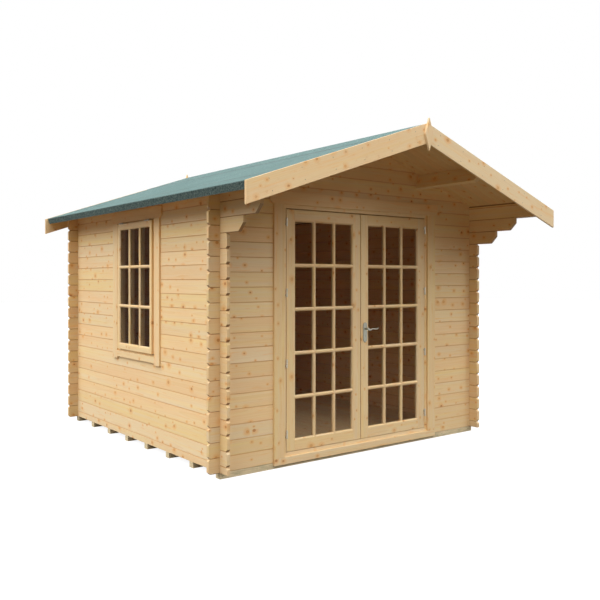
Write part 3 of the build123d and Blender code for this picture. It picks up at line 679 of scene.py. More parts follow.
def felt_sheet(name, section, finish, folded=None):
    """A strip drawn from front to back: a closed section of points, each with a 1 if it wanders."""
    outlines = []
    for k in range(FELT_STEPS + 1):
        y = felt_low.y + (felt_high.y - felt_low.y) * k / FELT_STEPS
        wave = FELT_WANDER * (math.sin(y * 7.1 + len(section)) + 0.6 * math.sin(y * 19.7 + 1.3))
        outlines.append([(p.x + wave * free * math.copysign(1, p.x), y, p.z) for p, free in section])
    bm = bmesh.new()
    skin(bm, outlines)
    sheet = piece(name, to_mesh(name, bm), finish, "cabin")
    if folded is not None:
        sheet.data.materials.append(folded)
        for face in sheet.data.polygons:
            face.material_index = int(abs(face.normal.x) > 0.75)
    return sheet


def folded_eaves(side):
    """The first sheet's section, from under its lap, round the fold and down the apron."""
    turned = eaves_edge - FOLD
    inside = FOLD - FELT_THICK
    outer = [(LAP_LOW - LAP, 0.0), (turned, 0.0)]
    inner = [(LAP_LOW - LAP, FELT_THICK), (turned, FELT_THICK)]
    for k in range(1, 6):
        angle = math.pi / 2 * k / 5
        outer.append((turned + FOLD * math.sin(angle), FOLD - FOLD * math.cos(angle)))
        inner.append((turned + inside * math.sin(angle), FOLD - inside * math.cos(angle)))
    outer.append((eaves_edge, APRON))
    inner.append((eaves_edge - FELT_THICK, APRON))
    return [(slope_point(side, along, deep), 0) for along, deep in outer + list(reversed(inner))]


def flat_sheet(side, start, end):
    """A sheet's section between two places on the slope, its lower edge lapped over the next."""
    return [(slope_point(side, along, deep), free) for along, deep, free in (
        (start, -0.0002, 0), (end - LAP - 0.01, -0.0002, 0), (end - LAP + 0.01, -LAP_RISE, 0),
        (end, -LAP_RISE, 1), (end, -0.0003, 1), (start, 0.0015, 0))]


for side, name in SLOPES:
    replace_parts(felt_sheet("felt_eaves_sheet_" + name, folded_eaves(side), FELT, FELT_EDGE),
                "roof_felt_" + name)
    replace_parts(felt_sheet("felt_middle_sheet_" + name, flat_sheet(side, LAP_RIDGE - LAP, LAP_LOW), FELT),
                "roof_felt_" + name)
cap = [(slope_point(side, along, deep), free) for side, along, deep, free in (
    (-1, LAP_RIDGE, -2 * LAP_RISE, 1), (-1, CAP_BEND, -2 * LAP_RISE, 0),
    (1, CAP_BEND, -2 * LAP_RISE, 0), (1, LAP_RIDGE, -2 * LAP_RISE, 1),
    (1, LAP_RIDGE, -0.0003, 1), (1, CAP_BEND, 0.001, 0),
    (-1, CAP_BEND, 0.001, 0), (-1, LAP_RIDGE, -0.0003, 1))]
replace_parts(felt_sheet("felt_ridge_cap", cap, FELT), "roof_felt_left", "roof_felt_right")


def bitumen():
    """The black bead squeezed out along a lap."""
    made, tree, shader, place = material("bitumen_bead")
    lump = noise(tree, place, (60.0, 60.0, 60.0), 2.0, 0.5)
    colour = tint(tree, lump, (0.030, 0.045, 0.044), (0.060, 0.085, 0.082))
    tree.links.new(colour, shader.inputs["Base Color"])
    shader.inputs["Roughness"].default_value = 0.6
    raise_surface(tree, shader, lump, 0.001)
    return made


BITUMEN = bitumen()
for side, name in SLOPES:
    for lap, wide, height, label in ((LAP_LOW, 0.005, LAP_RISE, "low"),
                                     (LAP_RIDGE, 0.007, 2 * LAP_RISE, "ridge")):
        bead = [(slope_point(side, lap + along, deep), 1) for along, deep in (
            (-0.002, 0.0005), (-0.002, -height), (wide / 3, -height), (wide, 0.0005))]
        felt_sheet("bitumen_" + label + "_lap_" + name, bead, BITUMEN)


def lathe(bm, centre, axis, profile, steps=28):
    """Turn a profile of (radius, height) about an axis through centre; it is closed at both ends."""
    turn = Vector((0, 0, 1)).rotation_difference(Vector(axis)).to_matrix()
    angles = [2 * math.pi * k / steps for k in range(steps)]
    skin(bm, [[turn @ Vector((radius * math.cos(a), radius * math.sin(a), height)) + Vector(centre)
               for a in angles] for radius, height in profile])


def clout_nail(bm, place, facing, radius=0.0038):
    """A galvanised nail with a flat wide head, driven home."""
    lathe(bm, place, facing, [(radius, -0.001), (radius, 0.0006), (radius * 0.8, 0.0010)], 12)


def zinc(name, dark, light, shine):
    """A zinc coating, cloudy from dark to light, on nails and hinges."""
    made, tree, shader, place = material(name)
    cloud = noise(tree, place, (40.0, 40.0, 40.0), 3.0, 0.6)
    tree.links.new(tint(tree, cloud, dark, light), shader.inputs["Base Color"])
    shader.inputs["Metallic"].default_value = shine
    shader.inputs["Roughness"].default_value = 0.45
    raise_surface(tree, shader, cloud, 0.0001)
    return made


NAIL_ZINC = zinc("weathered_nail", (0.08, 0.10, 0.09), (0.14, 0.17, 0.155), 0.4)
NAILS = 38
NAIL_END = 0.03             # the first and last nails, from the ends of the sheet
nail_step = (felt_high.y - felt_low.y - 2 * NAIL_END) / (NAILS - 1)
for side, name in SLOPES:
    facing = down_slope(side)
    spot = slope_point(side, eaves_edge, APRON * 0.62, felt_low.y + NAIL_END) + facing * 0.0002
    bm = bmesh.new()
    clout_nail(bm, spot, facing)
    laid("clout_nails_" + name, bm, None, NAIL_ZINC, "cabin", "hinge_steel", across=NAILS,
         step_across=(0, nail_step, 0), play=(0, 0.006, 0.004), seed=61 + side)

# ---------------------------------------------------------------- bargeboards and finials
# Planed boards close the roof's ends, butted at the ridge under a diamond finial, and nailed
# through to the purlins and the roof boards. Their outer ends are cut upright.
BARGE_PINS = 6
BARGE_STEP = 0.29
BARGE_FIRST = 0.16          # the first pair of pins, down the slope from the ridge
BARGE_DEEPS = (0.030, 0.115)
for end in ("front", "rear"):
    for side, name in SLOPES:
        cut_piece(end + "_bargeboard_" + name, [end + "_bargeboards"], EDGE,
                  30.0 + side * 3.3 + len(end), down_slope(side), side)
cut_piece("finial_diamonds", ["finials"], EDGE, 44.0)
for end, back in (("front", -1), ("rear", 1)):
    low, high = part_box(end + "_bargeboards")
    face_y = low.y if back < 0 else high.y
    facing = Vector((0, back, 0))
    for side, name in SLOPES:
        bm = bmesh.new()
        for deep in BARGE_DEEPS:
            clout_nail(bm, slope_point(side, BARGE_FIRST, deep, face_y) + facing * 0.0001, facing, 0.0026)
        laid(end + "_bargeboard_pins_" + name, bm, None, NAIL_ZINC, "cabin", "hinge_steel",
             across=BARGE_PINS, step_across=down_slope(side, BARGE_STEP), play=(0.004, 0, 0.002),
             seed=75 + side + back)

# ---------------------------------------------------------------- door frame and trims
# A planed pine frame is let into the logs: two rebated jambs, a head and a sill. Flat boards
# cover its joint with the logs, and the head board's ears slant down to the side boards.
BOARD_EDGE = 0.002
for name in ("door_jambs", "door_head", "door_sill"):
    cut_piece(name + "_pine", [name], EDGE, 50.0 + len(name) * 1.7)
cut_piece("door_side_boards", ["door_side_trims"], BOARD_EDGE, 85.1)
cut_piece("door_head_board", ["door_head_trim"], BOARD_EDGE, 66.1)
cut_piece("door_foot_board", ["door_bottom_board"], BOARD_EDGE, 68.2)

# ---------------------------------------------------------------- door leaves
# Each leaf is a frame of two stiles and two rails, tenoned together, and glazing bars divide it
# into three panes by five. Bevelled beads, mitred at their corners, hold every pane on both sides.
BEAD = 0.012
PANES_ACROSS = 3
PANES_UP = 5
BAR = 0.030
LOW_PANE = 0.313            # the lowest row, a little shorter than the rest
IN_REBATE = 0.006           # how far a pane reaches under its beads
BARS_APART = 0.3495         # the cross bars, middle to middle; the highest row takes what is left
UPRIGHT_SHY = 0.001         # how far behind the leaf's face the upright bars lie
CROSS_SHY = 0.0012          # the cross bars
BEAD_SHY = 0.0004           # and the beads
BAR_EDGE = 0.0008
PANE_EDGE = 0.0005


def open_up(bm, across, low, high):
    """Widen a frame's opening by the beads, which hide their width of it all round the glass."""
    for v in bm.verts:
        place = v.co
        level = low[across] - 0.002 < place[across] < high[across] + 0.002
        for axis, touches in ((2, level), (across, True)):
            if touches and abs(place[axis] - low[axis]) < 0.001:
                place[axis] -= BEAD
            elif touches and abs(place[axis] - high[axis]) < 0.001:
                place[axis] += BEAD


def bead_ring(bm, low, high, face, glass):
    """Four mitred beads round a pane, in the plane of x and z: face and glass are the two y."""
    deep = glass - face
    section = [(0.0, 0.03 * deep), (0.001, 0.0), (0.0045, 0.12 * deep), (0.0085, 0.38 * deep),
               (BEAD - 0.001, 0.66 * deep), (BEAD, 0.74 * deep), (BEAD, deep), (0.0, deep)]
    corners = [(low[0] - BEAD, low[1] - BEAD, 1, 1), (high[0] + BEAD, low[1] - BEAD, -1, 1),
               (high[0] + BEAD, high[1] + BEAD, -1, -1), (low[0] - BEAD, high[1] + BEAD, 1, -1)]
    for ends in zip(corners, corners[1:] + corners[:1]):
        skin(bm, [[(x + s * in_x, face + d, z + s * in_z) for s, d in section] for x, z, in_x, in_z in ends])


def clear_glass(name, tone, shine, loss):
    """Clear float glass: it shines a little and keeps back a small share of the light, its loss."""
    made, tree, shader, place = material(name)
    shader.inputs["Base Color"].default_value = (*tone, 1.0)
    shader.inputs["Roughness"].default_value = 0.03
    shader.inputs["Specular IOR Level"].default_value = shine
    shader.inputs["Alpha"].default_value = loss
    return made


GLASS = clear_glass("float_glass", (0.020, 0.026, 0.026), 0.25, 0.06)

for side, body, seed in ((-1, "left_door", 87.5), (1, "right_door", 47.6)):
    leaf_low, leaf_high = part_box(body + "_leaf")
    glass_low, glass_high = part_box(body + "_glass")
    face = leaf_low.y
    back = leaf_high.y
    bm = merged_copy([body + "_leaf"])
    open_up(bm, 0, glass_low, glass_high)
    soften(bm, EDGE)
    mesh = to_mesh(body + "_frame", bm)
    run_grain(mesh, seed)
    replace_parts(piece(body + "_frame", mesh, JOINERY, body), body + "_leaf")

    wide = (glass_high.x - glass_low.x - (PANES_ACROSS - 1) * BAR) / PANES_ACROSS
    step = (wide + BAR, 0, 0)
    core = BAR - 2 * BEAD
    bar_lows = [glass_low.z + LOW_PANE + k * BARS_APART for k in range(PANES_UP - 1)]
    rows = list(zip([glass_low.z] + [z + BAR for z in bar_lows], bar_lows + [glass_high.z]))

    bm = bmesh.new()
    x = glass_low.x + wide + BEAD
    box_into(bm, (x, face + UPRIGHT_SHY, glass_low.z - BEAD),
             (x + core, back - UPRIGHT_SHY, glass_high.z + BEAD))
    soften(bm, BAR_EDGE)
    laid(body + "_upright_bars", bm, 1.0, JOINERY, body, "pine",
         across=PANES_ACROSS - 1, step_across=step, seed=20 + side)
    bm = bmesh.new()
    z = bar_lows[0] + BEAD
    box_into(bm, (glass_low.x - BEAD, face + CROSS_SHY, z),
             (glass_low.x + wide + BEAD, back - CROSS_SHY, z + core))
    soften(bm, BAR_EDGE)
    laid(body + "_cross_bars", bm, 2.0, JOINERY, body, "pine", across=PANES_ACROSS, step_across=step,
         up=PANES_UP - 1, step_up=(0, 0, BARS_APART), seed=24 + side)

    bm = bmesh.new()
    for low_z, high_z in rows:
        low = (glass_low.x, low_z)
        high = (glass_low.x + wide, high_z)
        bead_ring(bm, low, high, face + BEAD_SHY, glass_low.y)
        bead_ring(bm, low, high, back - BEAD_SHY, glass_high.y)
    laid(body + "_beads", bm, 4.0, JOINERY, body, "pine",
         across=PANES_ACROSS, step_across=step, seed=28 + side)
    bm = bmesh.new()
    for low_z, high_z in rows:
        box_into(bm, (glass_low.x - IN_REBATE, glass_low.y, low_z - IN_REBATE),
                 (glass_low.x + wide + IN_REBATE, glass_high.y, high_z + IN_REBATE))
    soften(bm, PANE_EDGE)
    panes = laid(body + "_panes", bm, None, GLASS, body, "glass",
                 across=PANES_ACROSS, step_across=step, seed=32 + side)
    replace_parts(panes, body + "_glass")

# ---------------------------------------------------------------- door hinges
# Zinc-plated lift-off hinges, four a leaf: the upper barrel is on the leaf and the lower one,
# with its pin, on the jamb. Each has an arm screwed into the wood.
ZINC = zinc("zinc_plate", (0.54, 0.48, 0.37), (0.66, 0.60, 0.48), 0.5)
BARREL = 0.007
HINGES = 4
HINGE_PITCH = 0.5575
HINGE_JOINT = 0.00025       # half the gap between the two barrels
BARREL_TURNING = ((0.0048, 0.0003), (0.0066, 0.0004), (BARREL, 0.0009), (BARREL, 0.0030),
                  (0.0066, 0.0034), (BARREL, 0.0038), (BARREL, 0.0305), (0.0066, 0.0322),
                  (0.0052, 0.0338), (0.0028, 0.0346), (0.0008, 0.0349))


def smooth(mesh, angle):
    """Shade a turned piece smooth, but for its edges sharper than an angle."""
    for face in mesh.polygons:
        face.use_smooth = True
    mesh.set_sharp_from_angle(angle=angle)


for side, body in ((-1, "left_door"), (1, "right_door")):
    low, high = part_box(body + "_hinge_knuckles")
    axis_x = low.x + BARREL if side < 0 else high.x - BARREL
    axis_y = low.y + BARREL
    joint = low.z - HINGE_JOINT
    for rides, node, name, sign, arm in (
            (body, body + "_hinge_knuckles", body + "_hinge_barrels", 1, -side),
            ("cabin", "door_hinge_pins", body + "_hinge_pin_barrels", -1, side)):
        bm = bmesh.new()
        lathe(bm, (axis_x, axis_y, joint), (0, 0, sign), BARREL_TURNING)
        start = (axis_x + arm * 0.0052, axis_y - 0.0015, joint + sign * 0.0105)
        end = (axis_x + arm * 0.0108, front_face, joint + sign * 0.0245)
        box_into(bm, [min(a, b) for a, b in zip(start, end)], [max(a, b) for a, b in zip(start, end)])
        soften(bm, 0.0007)
        barrels = laid(name, bm, None, ZINC, rides, "hinge_steel",
                       across=HINGES, step_across=(0, 0, HINGE_PITCH), seed=50 + side)
        smooth(barrels.data, 0.6)
        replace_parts(barrels, node)

# ---------------------------------------------------------------- door handle
# Satin lever handle on a long backplate, domed above and pointed below, both sides of the right
# leaf. The plates are screwed on, with a keyhole each, and the levers share a square spindle.
PLATE_THICK = 0.0062
PLATE_EDGE = 0.0014
PLATE_SHY = 0.0012          # the bevel stands out this much round the plate's outline
KEY_DROP = -0.062           # the keyhole, from the spindle
KEY_RADIUS = 0.0042


def satin():
    """Cast metal with a fine brushed finish."""
    made, tree, shader, place = material("satin_metal")
    brush = noise(tree, place, (60.0, 60.0, 900.0), 3.0, 0.6)
    colour = tint(tree, brush, (0.24, 0.24, 0.195), (0.32, 0.32, 0.27))
    tree.links.new(colour, shader.inputs["Base Color"])
    shader.inputs["Metallic"].default_value = 1.0
    shader.inputs["Roughness"].default_value = 0.36
    raise_surface(tree, shader, brush, 0.00003)
    return made


SATIN = satin()
plate_low, plate_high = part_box("door_handle_plates")
spindle_x = (plate_low.x + plate_high.x) / 2
spindle_z = 1.052
inner_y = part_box("right_door_leaf")[1].y


def flat_curve(name, outlines, thick, edge):
    """A flat plate with holes, cut from outlines, with rounded edges. It lies in x and y."""
    data = bpy.data.curves.new(name, "CURVE")
    data.dimensions = "2D"
    data.fill_mode = "BOTH"
    data.extrude = thick / 2 - edge
    data.bevel_depth = edge
    data.bevel_resolution = 2
    for outline in outlines:
        line = data.splines.new("POLY")
        line.points.add(len(outline) - 1)
        for point, (x, y) in zip(line.points, outline):
            point.co = (x, y, 0, 1)
        line.use_cyclic_u = True
    carrier = bpy.data.objects.new(name, data)
    mesh = bpy.data.meshes.new_from_object(carrier)
    bpy.data.objects.remove(carrier)
    return mesh


plate_top = plate_high.z - spindle_z - PLATE_SHY
plate_foot = plate_low.z - spindle_z + PLATE_SHY
half_plate = [(0.0, plate_foot), (0.0035, plate_foot + 0.004), (0.0085, plate_foot + 0.009),
              (0.0145, plate_foot + 0.013), (0.0190, plate_foot + 0.018), (0.0213, plate_foot + 0.025),
              (0.0208, plate_foot + 0.060), (0.0200, plate_foot + 0.090), (0.0208, plate_top - 0.050),
              (0.0212, plate_top - 0.024), (0.0200, plate_top - 0.016), (0.0165, plate_top - 0.0085),
              (0.0115, plate_top - 0.0035), (0.0058, plate_top - 0.0008), (0.0, plate_top)]
outline = half_plate + [(-x, z) for x, z in reversed(half_plate[1:-1])]
keyhole = [(KEY_RADIUS * math.cos(a), KEY_DROP + KEY_RADIUS * math.sin(a))
           for a in [math.radians(-60 + 30 * k) for k in range(11)]]
keyhole += [(-0.0016, KEY_DROP - 0.0115), (0.0016, KEY_DROP - 0.0115)]
screw_holes = [(0.0, plate_top - 0.011), (0.0, plate_foot + 0.022)]
for face_y, out, label in ((front_face, -1, "outer"), (inner_y, 1, "inner")):
    mesh = flat_curve("handle_plate", [outline, keyhole], PLATE_THICK, PLATE_EDGE)
    mesh.transform(Matrix(((1, 0, 0, spindle_x), (0, 0, 1, face_y + out * PLATE_THICK / 2),
                           (0, 1, 0, spindle_z), (0, 0, 0, 1))))
    bm = bmesh.new()
    bm.from_mesh(mesh)
    bmesh.ops.remove_doubles(bm, verts=bm.verts, dist=1e-6)
    proud = face_y + out * PLATE_THICK
    for x, z in screw_holes:
        lathe(bm, (spindle_x + x, proud, spindle_z + z), (0, out, 0),
              [(0.0036, -0.0010), (0.0036, 0.0003), (0.0030, 0.0009), (0.0018, 0.0013),
               (0.0006, 0.0014)], 16)
    lathe(bm, (spindle_x, proud, spindle_z), (0, out, 0),
          [(0.0140, -0.0006), (0.0140, 0.0004), (0.0128, 0.0012), (0.0104, 0.0016),
           (0.0096, 0.0017)], 32)
    bmesh.ops.recalc_face_normals(bm, faces=bm.faces)
    mesh = to_mesh("handle_plate_" + label, bm)
    smooth(mesh, 0.7)
    plate = piece("handle_plate_" + label, mesh, SATIN, "right_door")
    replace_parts(plate, "door_handle_plates")

# keyhole linings: a near-black sheet behind the plates, standing for the lock's case, painted shade for the
# dark hole into the lock seen through each keyhole
bm = bmesh.new()
for face_y, out in ((front_face, -1), (inner_y, 1)):
    near, far = sorted((face_y + out * 0.0002, face_y + out * 0.0010))
    box_into(bm, (spindle_x - 0.0060, near, spindle_z + KEY_DROP - 0.013),
             (spindle_x + 0.0060, far, spindle_z + KEY_DROP + 0.006))
# near black, painted shade inside the keyholes
made, tree, shader, place = material("keyhole_shade_sheet")
colour = tint(tree, noise(tree, place, (80, 80, 80)), (0.012, 0.012, 0.011), (0.03, 0.028, 0.024))
tree.links.new(colour, shader.inputs["Base Color"])
shader.inputs["Roughness"].default_value = 0.6
piece("keyhole_shade_sheet", to_mesh("keyhole_shade_sheet", bm), made, "right_door")


def swept(bm, path, steps=20):
    """Sweep an ellipse along a path of (x, y, z, half width, half height)."""
    points = [Vector(p[:3]) for p in path]
    angles = [2 * math.pi * j / steps for j in range(steps)]
    outlines = []
    for k, point in enumerate(points):
        ahead = points[min(k + 1, len(points) - 1)] - points[max(k - 1, 0)]
        ahead.normalize()
        side = ahead.cross(Vector((0, 0, 1))).normalized()
        rise = side.cross(ahead).normalized()
        outlines.append([point + side * path[k][3] * math.cos(a) + rise * path[k][4] * math.sin(a)
                         for a in angles])
    skin(bm, outlines)


# along from the spindle, out from the leaf's face, up, half width, half height
LEVER = ((0.0, 0.0068, 0.0, 0.0125, 0.0125), (0.0, 0.0120, 0.0, 0.0112, 0.0112),
         (0.0, 0.0200, 0.0, 0.0088, 0.0092), (0.0002, 0.0300, -0.0003, 0.0082, 0.0090),
         (0.0015, 0.0360, -0.0010, 0.0080, 0.0092), (0.0055, 0.0405, -0.0028, 0.0070, 0.0096),
         (0.0115, 0.0418, -0.0055, 0.0058, 0.0092), (0.0190, 0.0420, -0.0088, 0.0056, 0.0084),
         (0.0260, 0.0420, -0.0100, 0.0055, 0.0076), (0.0330, 0.0420, -0.0080, 0.0053, 0.0066),
         (0.0420, 0.0420, -0.0032, 0.0051, 0.0058), (0.0520, 0.0420, -0.0010, 0.0050, 0.0055),
         (0.0660, 0.0420, -0.0016, 0.0049, 0.0056), (0.0800, 0.0420, -0.0042, 0.0048, 0.0057),
         (0.0920, 0.0420, -0.0062, 0.0047, 0.0056), (0.1020, 0.0420, -0.0055, 0.0045, 0.0052),
         (0.1100, 0.0420, -0.0015, 0.0042, 0.0046), (0.1160, 0.0420, 0.0035, 0.0037, 0.0038),
         (0.1190, 0.0420, 0.0062, 0.0026, 0.0026), (0.1200, 0.0420, 0.0070, 0.0010, 0.0010))
bm = bmesh.new()
for face_y, out in ((front_face, -1), (inner_y, 1)):
    swept(bm, [(spindle_x + along, face_y + out * away, spindle_z + up, wide, tall)
               for along, away, up, wide, tall in LEVER])
lever = piece("lever_pair", to_mesh("lever_pair", bm), SATIN, "door_lever")
round_off = lever.modifiers.new("round_off", "SUBSURF")
round_off.levels = 1
mesh = bpy.data.meshes.new_from_object(lever.evaluated_get(bpy.context.evaluated_depsgraph_get()))
lever.modifiers.remove(round_off)
lever.data = mesh
for face in mesh.polygons:
    face.use_smooth = True
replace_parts(lever, "door_lever")

# ---------------------------------------------------------------- barrel bolts
# Two small zinc-plated barrel bolts, screwed on inside the left leaf above and below, hold it
# shut while the right one is used. Each rod slides in three lugs on its plate, moved by a knob.
BOLT_IN = 0.046             # from the leaf's closing edge
BOLT_UP = 0.085             # from the leaf's top or foot
ROD_OUT = 0.0058
leaf_low, leaf_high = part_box("left_door_leaf")
bolt_x = leaf_high.x - BOLT_IN
bolts = ((leaf_low.z + BOLT_UP, -1), (leaf_high.z - BOLT_UP, 1))
bm = bmesh.new()
for middle, up in bolts:
    box_into(bm, (bolt_x - 0.014, inner_y - 0.0004, middle - 0.050),
             (bolt_x + 0.014, inner_y + 0.0014, middle + 0.050))
    for off in (-0.032, 0.0, 0.032):
        box_into(bm, (bolt_x - 0.0085, inner_y, middle + off - 0.006),
                 (bolt_x + 0.0085, inner_y + 0.0105, middle + off + 0.006))
soften(bm, 0.0008)
for middle, up in bolts:
    lathe(bm, (bolt_x, inner_y + ROD_OUT, middle), (0, 0, up),
          [(0.0030, -0.048), (0.0042, -0.046), (0.0042, 0.058), (0.0034, 0.061), (0.0010, 0.062)], 20)
    lathe(bm, (bolt_x, inner_y + ROD_OUT, middle - up * 0.016), (0, 1, 0),
          [(0.0022, 0.002), (0.0022, 0.009), (0.0040, 0.0105), (0.0040, 0.0140), (0.0026, 0.0155),
           (0.0008, 0.0158)], 16)
bmesh.ops.recalc_face_normals(bm, faces=bm.faces)
piece("barrel_bolts", to_mesh("barrel_bolts", bm), ZINC, "left_door")

# ---------------------------------------------------------------- window frame and trims
# A planed pine frame is let into the logs of the left wall, and flat boards cover its joint
# with them, as they do round the doors.
cut_piece("window_lining", ["window_frame"], EDGE, 80.0)
cut_piece("window_side_boards", ["window_side_trims"], BOARD_EDGE, 84.0)
cut_piece("window_head_board", ["window_head_trim"], BOARD_EDGE, 87.7)
cut_piece("window_foot_board", ["window_bottom_board"], BOARD_EDGE, 89.0)

# ---------------------------------------------------------------- board pins
# Small zinc-plated pins, a row down each upright board, hold the flat boards on beside the
# window and the doors. Their heads stand a little proud.
PIN_HEAD = 0.0022
PIN_INSET = 0.012           # from a board's outer edge
BOARD_PINS = 6              # down each board
for node, apart, facing, first in (("window_side_trims", 1, Vector((-1, 0, 0)), 0.09),
                                   ("door_side_trims", 0, Vector((0, -1, 0)), 0.12)):
    low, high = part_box(node)
    spot = Vector((low.x, low.y, low.z + first)) + facing * 0.0001
    spot[apart] = low[apart] + PIN_INSET
    step = Vector((0, 0, 0))
    step[apart] = high[apart] - low[apart] - 2 * PIN_INSET
    bm = bmesh.new()
    clout_nail(bm, spot, facing, PIN_HEAD)
    laid(node + "_pins", bm, None, ZINC, "cabin", "hinge_steel", across=2, step_across=step,
         up=BOARD_PINS, step_up=(0, 0, (high.z - low.z - 2 * first) / (BOARD_PINS - 1)), seed=70)

# ---------------------------------------------------------------- window sash
# A top-hung sash, three panes by three, closes against the frame and hangs on two steel butt
# hinges. Its bars run on into a deeper rebate inside, and beads hold the panes on both sides.
sash_low, sash_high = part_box("window_sash")
glass_low, glass_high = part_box("window_glass")
bm = merged_copy(["window_sash"])
open_up(bm, 1, glass_low, glass_high)
soften(bm, EDGE)
mesh = to_mesh("window_sash_frame", bm)
run_grain(mesh, 52.4)
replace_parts(piece("window_sash_frame", mesh, JOINERY, "cabin"), "window_sash")

WINDOW_PANES = 3
WINDOW_BAR = 0.028
BAR_INWARD = 0.030          # the bars and the rebate stand this far inside the sash
REBATE_SHY = 0.014          # the rebate's outside, from the sash's
wide = (glass_high.y - glass_low.y - (WINDOW_PANES - 1) * WINDOW_BAR) / WINDOW_PANES
tall = (glass_high.z - glass_low.z - (WINDOW_PANES - 1) * WINDOW_BAR) / WINDOW_PANES
core = WINDOW_BAR - 2 * BEAD
inner_x = sash_high.x + BAR_INWARD
steps = {"step_across": (0, wide + WINDOW_BAR, 0), "step_up": (0, 0, tall + WINDOW_BAR)}

# the sash's rebate, a deeper frame that stands inside the lining and takes the bars' tails
bm = bmesh.new()
edge_y = (glass_low.y - BEAD, glass_high.y + BEAD)
edge_z = (glass_low.z - BEAD, glass_high.z + BEAD)
out_y = (sash_low.y + REBATE_SHY, sash_high.y - REBATE_SHY)
out_z = (sash_low.z + REBATE_SHY, sash_high.z - REBATE_SHY)
for y0, y1, z0, z1 in ((out_y[0], edge_y[0], *out_z), (edge_y[1], out_y[1], *out_z),
                       (*edge_y, out_z[0], edge_z[0]), (*edge_y, edge_z[1], out_z[1])):
    box_into(bm, (sash_high.x, y0, z0), (inner_x, y1, z1))
soften(bm, 0.0012)
mesh = to_mesh("window_sash_rebate", bm)
run_grain(mesh, 95.0)
piece("window_sash_rebate", mesh, JOINERY, "cabin")

bm = bmesh.new()
y = glass_low.y + wide + BEAD
box_into(bm, (sash_low.x + UPRIGHT_SHY, y, edge_z[0]), (inner_x - 0.0005, y + core, edge_z[1]))
soften(bm, BAR_EDGE)
laid("window_upright_bars", bm, 1.0, JOINERY, "cabin", "pine",
     across=WINDOW_PANES - 1, seed=41, **steps)
bm = bmesh.new()
z = glass_low.z + tall + BEAD
box_into(bm, (sash_low.x + CROSS_SHY, edge_y[0], z),
         (inner_x - 0.0007, glass_low.y + wide + BEAD, z + core))
soften(bm, BAR_EDGE)
laid("window_cross_bars", bm, 2.0, JOINERY, "cabin", "pine",
     across=WINDOW_PANES, up=WINDOW_PANES - 1, seed=42, **steps)

bm = bmesh.new()
low = (glass_low.y, glass_low.z)
high = (glass_low.y + wide, glass_low.z + tall)
bead_ring(bm, low, high, sash_low.x + BEAD_SHY, glass_low.x)
bead_ring(bm, low, high, inner_x - BEAD_SHY, glass_high.x)
# made facing the front; with x and y swapped it faces the left
bmesh.ops.transform(bm, matrix=Matrix(((0, 1, 0, 0), (1, 0, 0, 0), (0, 0, 1, 0), (0, 0, 0, 1))),
                    verts=bm.verts)
bmesh.ops.reverse_faces(bm, faces=bm.faces)
laid("window_beads", bm, 4.0, JOINERY, "cabin", "pine",
     across=WINDOW_PANES, up=WINDOW_PANES, seed=43, **steps)
bm = bmesh.new()
box_into(bm, (glass_low.x, low[0] - IN_REBATE, low[1] - IN_REBATE),
         (glass_high.x, high[0] + IN_REBATE, high[1] + IN_REBATE))
soften(bm, PANE_EDGE)
SASH_GLASS = clear_glass("sash_glass", (0.006, 0.003, 0.001), 0.04, 0.20)
panes = laid("window_panes", bm, None, SASH_GLASS, "cabin", "glass",
             across=WINDOW_PANES, up=WINDOW_PANES, seed=44, **steps)
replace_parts(panes, "window_glass")

# two steel butt hinges, of five knuckles each, lie along the sash's top edge
HINGE_IN = 0.086
hinge_z = sash_high.z + 0.0035
hinge_x = sash_low.x - 0.0035
knuckles = [(0.0020, -0.0012), (0.0036, 0.0), (0.0044, 0.0012)]
for gap in (0.0150, 0.0320, 0.0500, 0.0670):
    knuckles += [(0.0044, gap), (0.0038, gap + 0.0006), (0.0038, gap + 0.0012), (0.0044, gap + 0.0018)]
knuckles += [(0.0044, 0.0828), (0.0036, 0.0840), (0.0020, 0.0852)]
bm = bmesh.new()
for y in (sash_low.y + HINGE_IN, sash_high.y - HINGE_IN):
    lathe(bm, (hinge_x, y - 0.042, hinge_z), (0, 1, 0), knuckles, 18)
    box_into(bm, (hinge_x + 0.001, y - 0.041, hinge_z - 0.0044),
             (hinge_x + 0.022, y + 0.041, hinge_z - 0.0032))
bmesh.ops.recalc_face_normals(bm, faces=bm.faces)
mesh = to_mesh("window_hinges", bm)
smooth(mesh, 0.6)
DULL_ZINC = zinc("dull_zinc", (0.26, 0.24, 0.19), (0.38, 0.35, 0.28), 0.4)
piece("window_hinges", mesh, DULL_ZINC, "cabin")

# ---------------------------------------------------------------- ground, light and camera
# The cabin stands on wide pale ground under a white sky. Five wide soft lamps light it, most of
# all from the left, and the camera stands at a person's eye height, off its left front corner.
GROUND_REACH = 40.0


def watched(tree):
    """1 where the camera looks, straight or through glass and metal, and 0 for the light itself."""
    ray = tree.nodes.new("ShaderNodeLightPath").outputs
    return calc(tree, "MAXIMUM", ray["Is Camera Ray"],
                calc(tree, "MAXIMUM", ray["Is Glossy Ray"], ray["Is Transmission Ray"]))


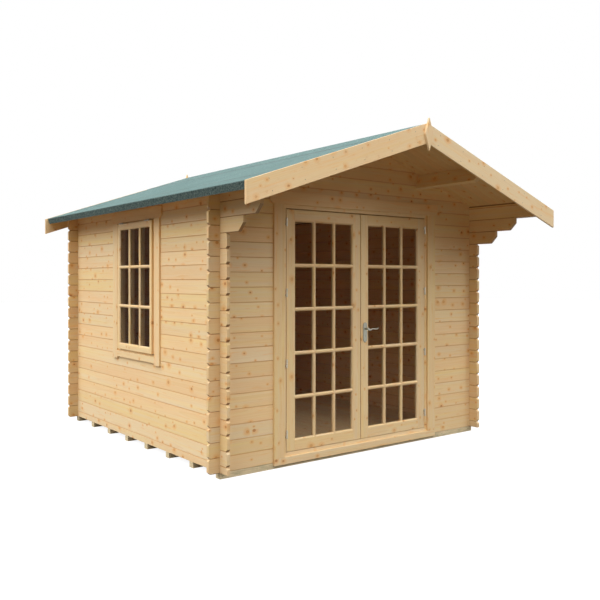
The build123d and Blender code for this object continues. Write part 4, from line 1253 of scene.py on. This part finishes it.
floor_mesh = bpy.data.meshes.new("ground")
floor_mesh.from_pydata([(-GROUND_REACH, -GROUND_REACH, 0), (GROUND_REACH, -GROUND_REACH, 0),
                        (GROUND_REACH, GROUND_REACH, 0), (-GROUND_REACH, GROUND_REACH, 0)],
                       [], [(0, 1, 2, 3)])
ground = bpy.data.objects.new("ground", floor_mesh)
bpy.context.scene.collection.objects.link(ground)
made, tree, shader, place = material("pale_ground")
shader.inputs["Base Color"].default_value = (0.11, 0.085, 0.055, 1.0)
shader.inputs["Roughness"].default_value = 1.0
shader.inputs["Specular IOR Level"].default_value = 0.0
glow = put(tree, "ShaderNodeEmission", {"Strength": 0.9})
paper = put(tree, "ShaderNodeBsdfDiffuse", {"Color": (0.2, 0.2, 0.2, 1.0)})
white = put(tree, "ShaderNodeAddShader", {0: glow.outputs[0], 1: paper.outputs[0]})
either = put(tree, "ShaderNodeMixShader", {0: watched(tree), 1: shader.outputs[0], 2: white.outputs[0]})
output = [n for n in tree.nodes if n.type == "OUTPUT_MATERIAL"][0]
tree.links.new(either.outputs[0], output.inputs[0])
floor_mesh.materials.append(made)

sky = bpy.data.worlds.new("studio")
sky.use_nodes = True
tree = sky.node_tree
tree.nodes.clear()
dome = put(tree, "ShaderNodeBackground", {"Color": (1.0, 1.0, 1.0, 1.0), "Strength": 0.02})
plain = put(tree, "ShaderNodeBackground", {"Color": (1.0, 1.0, 1.0, 1.0), "Strength": 1.0})
either = put(tree, "ShaderNodeMixShader", {0: watched(tree), 1: dome.outputs[0], 2: plain.outputs[0]})
put(tree, "ShaderNodeOutputWorld", {0: either.outputs[0]})
bpy.context.scene.world = sky


def soft_sun(name, azimuth, height, spread, strength, colour=(1.0, 1.0, 1.0)):
    """A wide soft lamp, azimuth degrees round the cabin (0 in front, 90 on the left) and height up."""
    data = bpy.data.lights.new(name, "SUN")
    data.energy = strength
    data.angle = math.radians(spread)
    data.color = colour
    lamp = bpy.data.objects.new(name, data)
    bpy.context.scene.collection.objects.link(lamp)
    turn = math.radians(azimuth)
    up = math.radians(height)
    toward = Vector((-math.sin(turn) * math.cos(up), -math.cos(turn) * math.cos(up), math.sin(up)))
    lamp.rotation_mode = "QUATERNION"
    lamp.rotation_quaternion = toward.to_track_quat("Z", "Y")


soft_sun("left_lamp", 98.0, 49.0, 66.0, 3.45)
soft_sun("low_left_lamp", 72.0, 36.0, 60.0, 0.27)
soft_sun("front_lamp", -30.0, 50.0, 64.0, 2.02)
soft_sun("near_lamp", 5.0, 42.0, 60.0, 0.68)
soft_sun("back_lamp", 225.0, 38.0, 80.0, 1.8)

view = bpy.data.cameras.new("camera")
view.lens = 43.58
view.sensor_width = 36.0
view.shift_y = -0.0339
view.clip_end = 200.0
camera = bpy.data.objects.new("camera", view)
bpy.context.scene.collection.objects.link(camera)
camera.location = (-4.2295, front_face - 4.592, 1.4716)
camera.rotation_euler = (math.radians(90.0), 0.0, math.radians(-37.678))
bpy.context.scene.camera = camera
bpy.context.scene.view_settings.view_transform = "Standard"
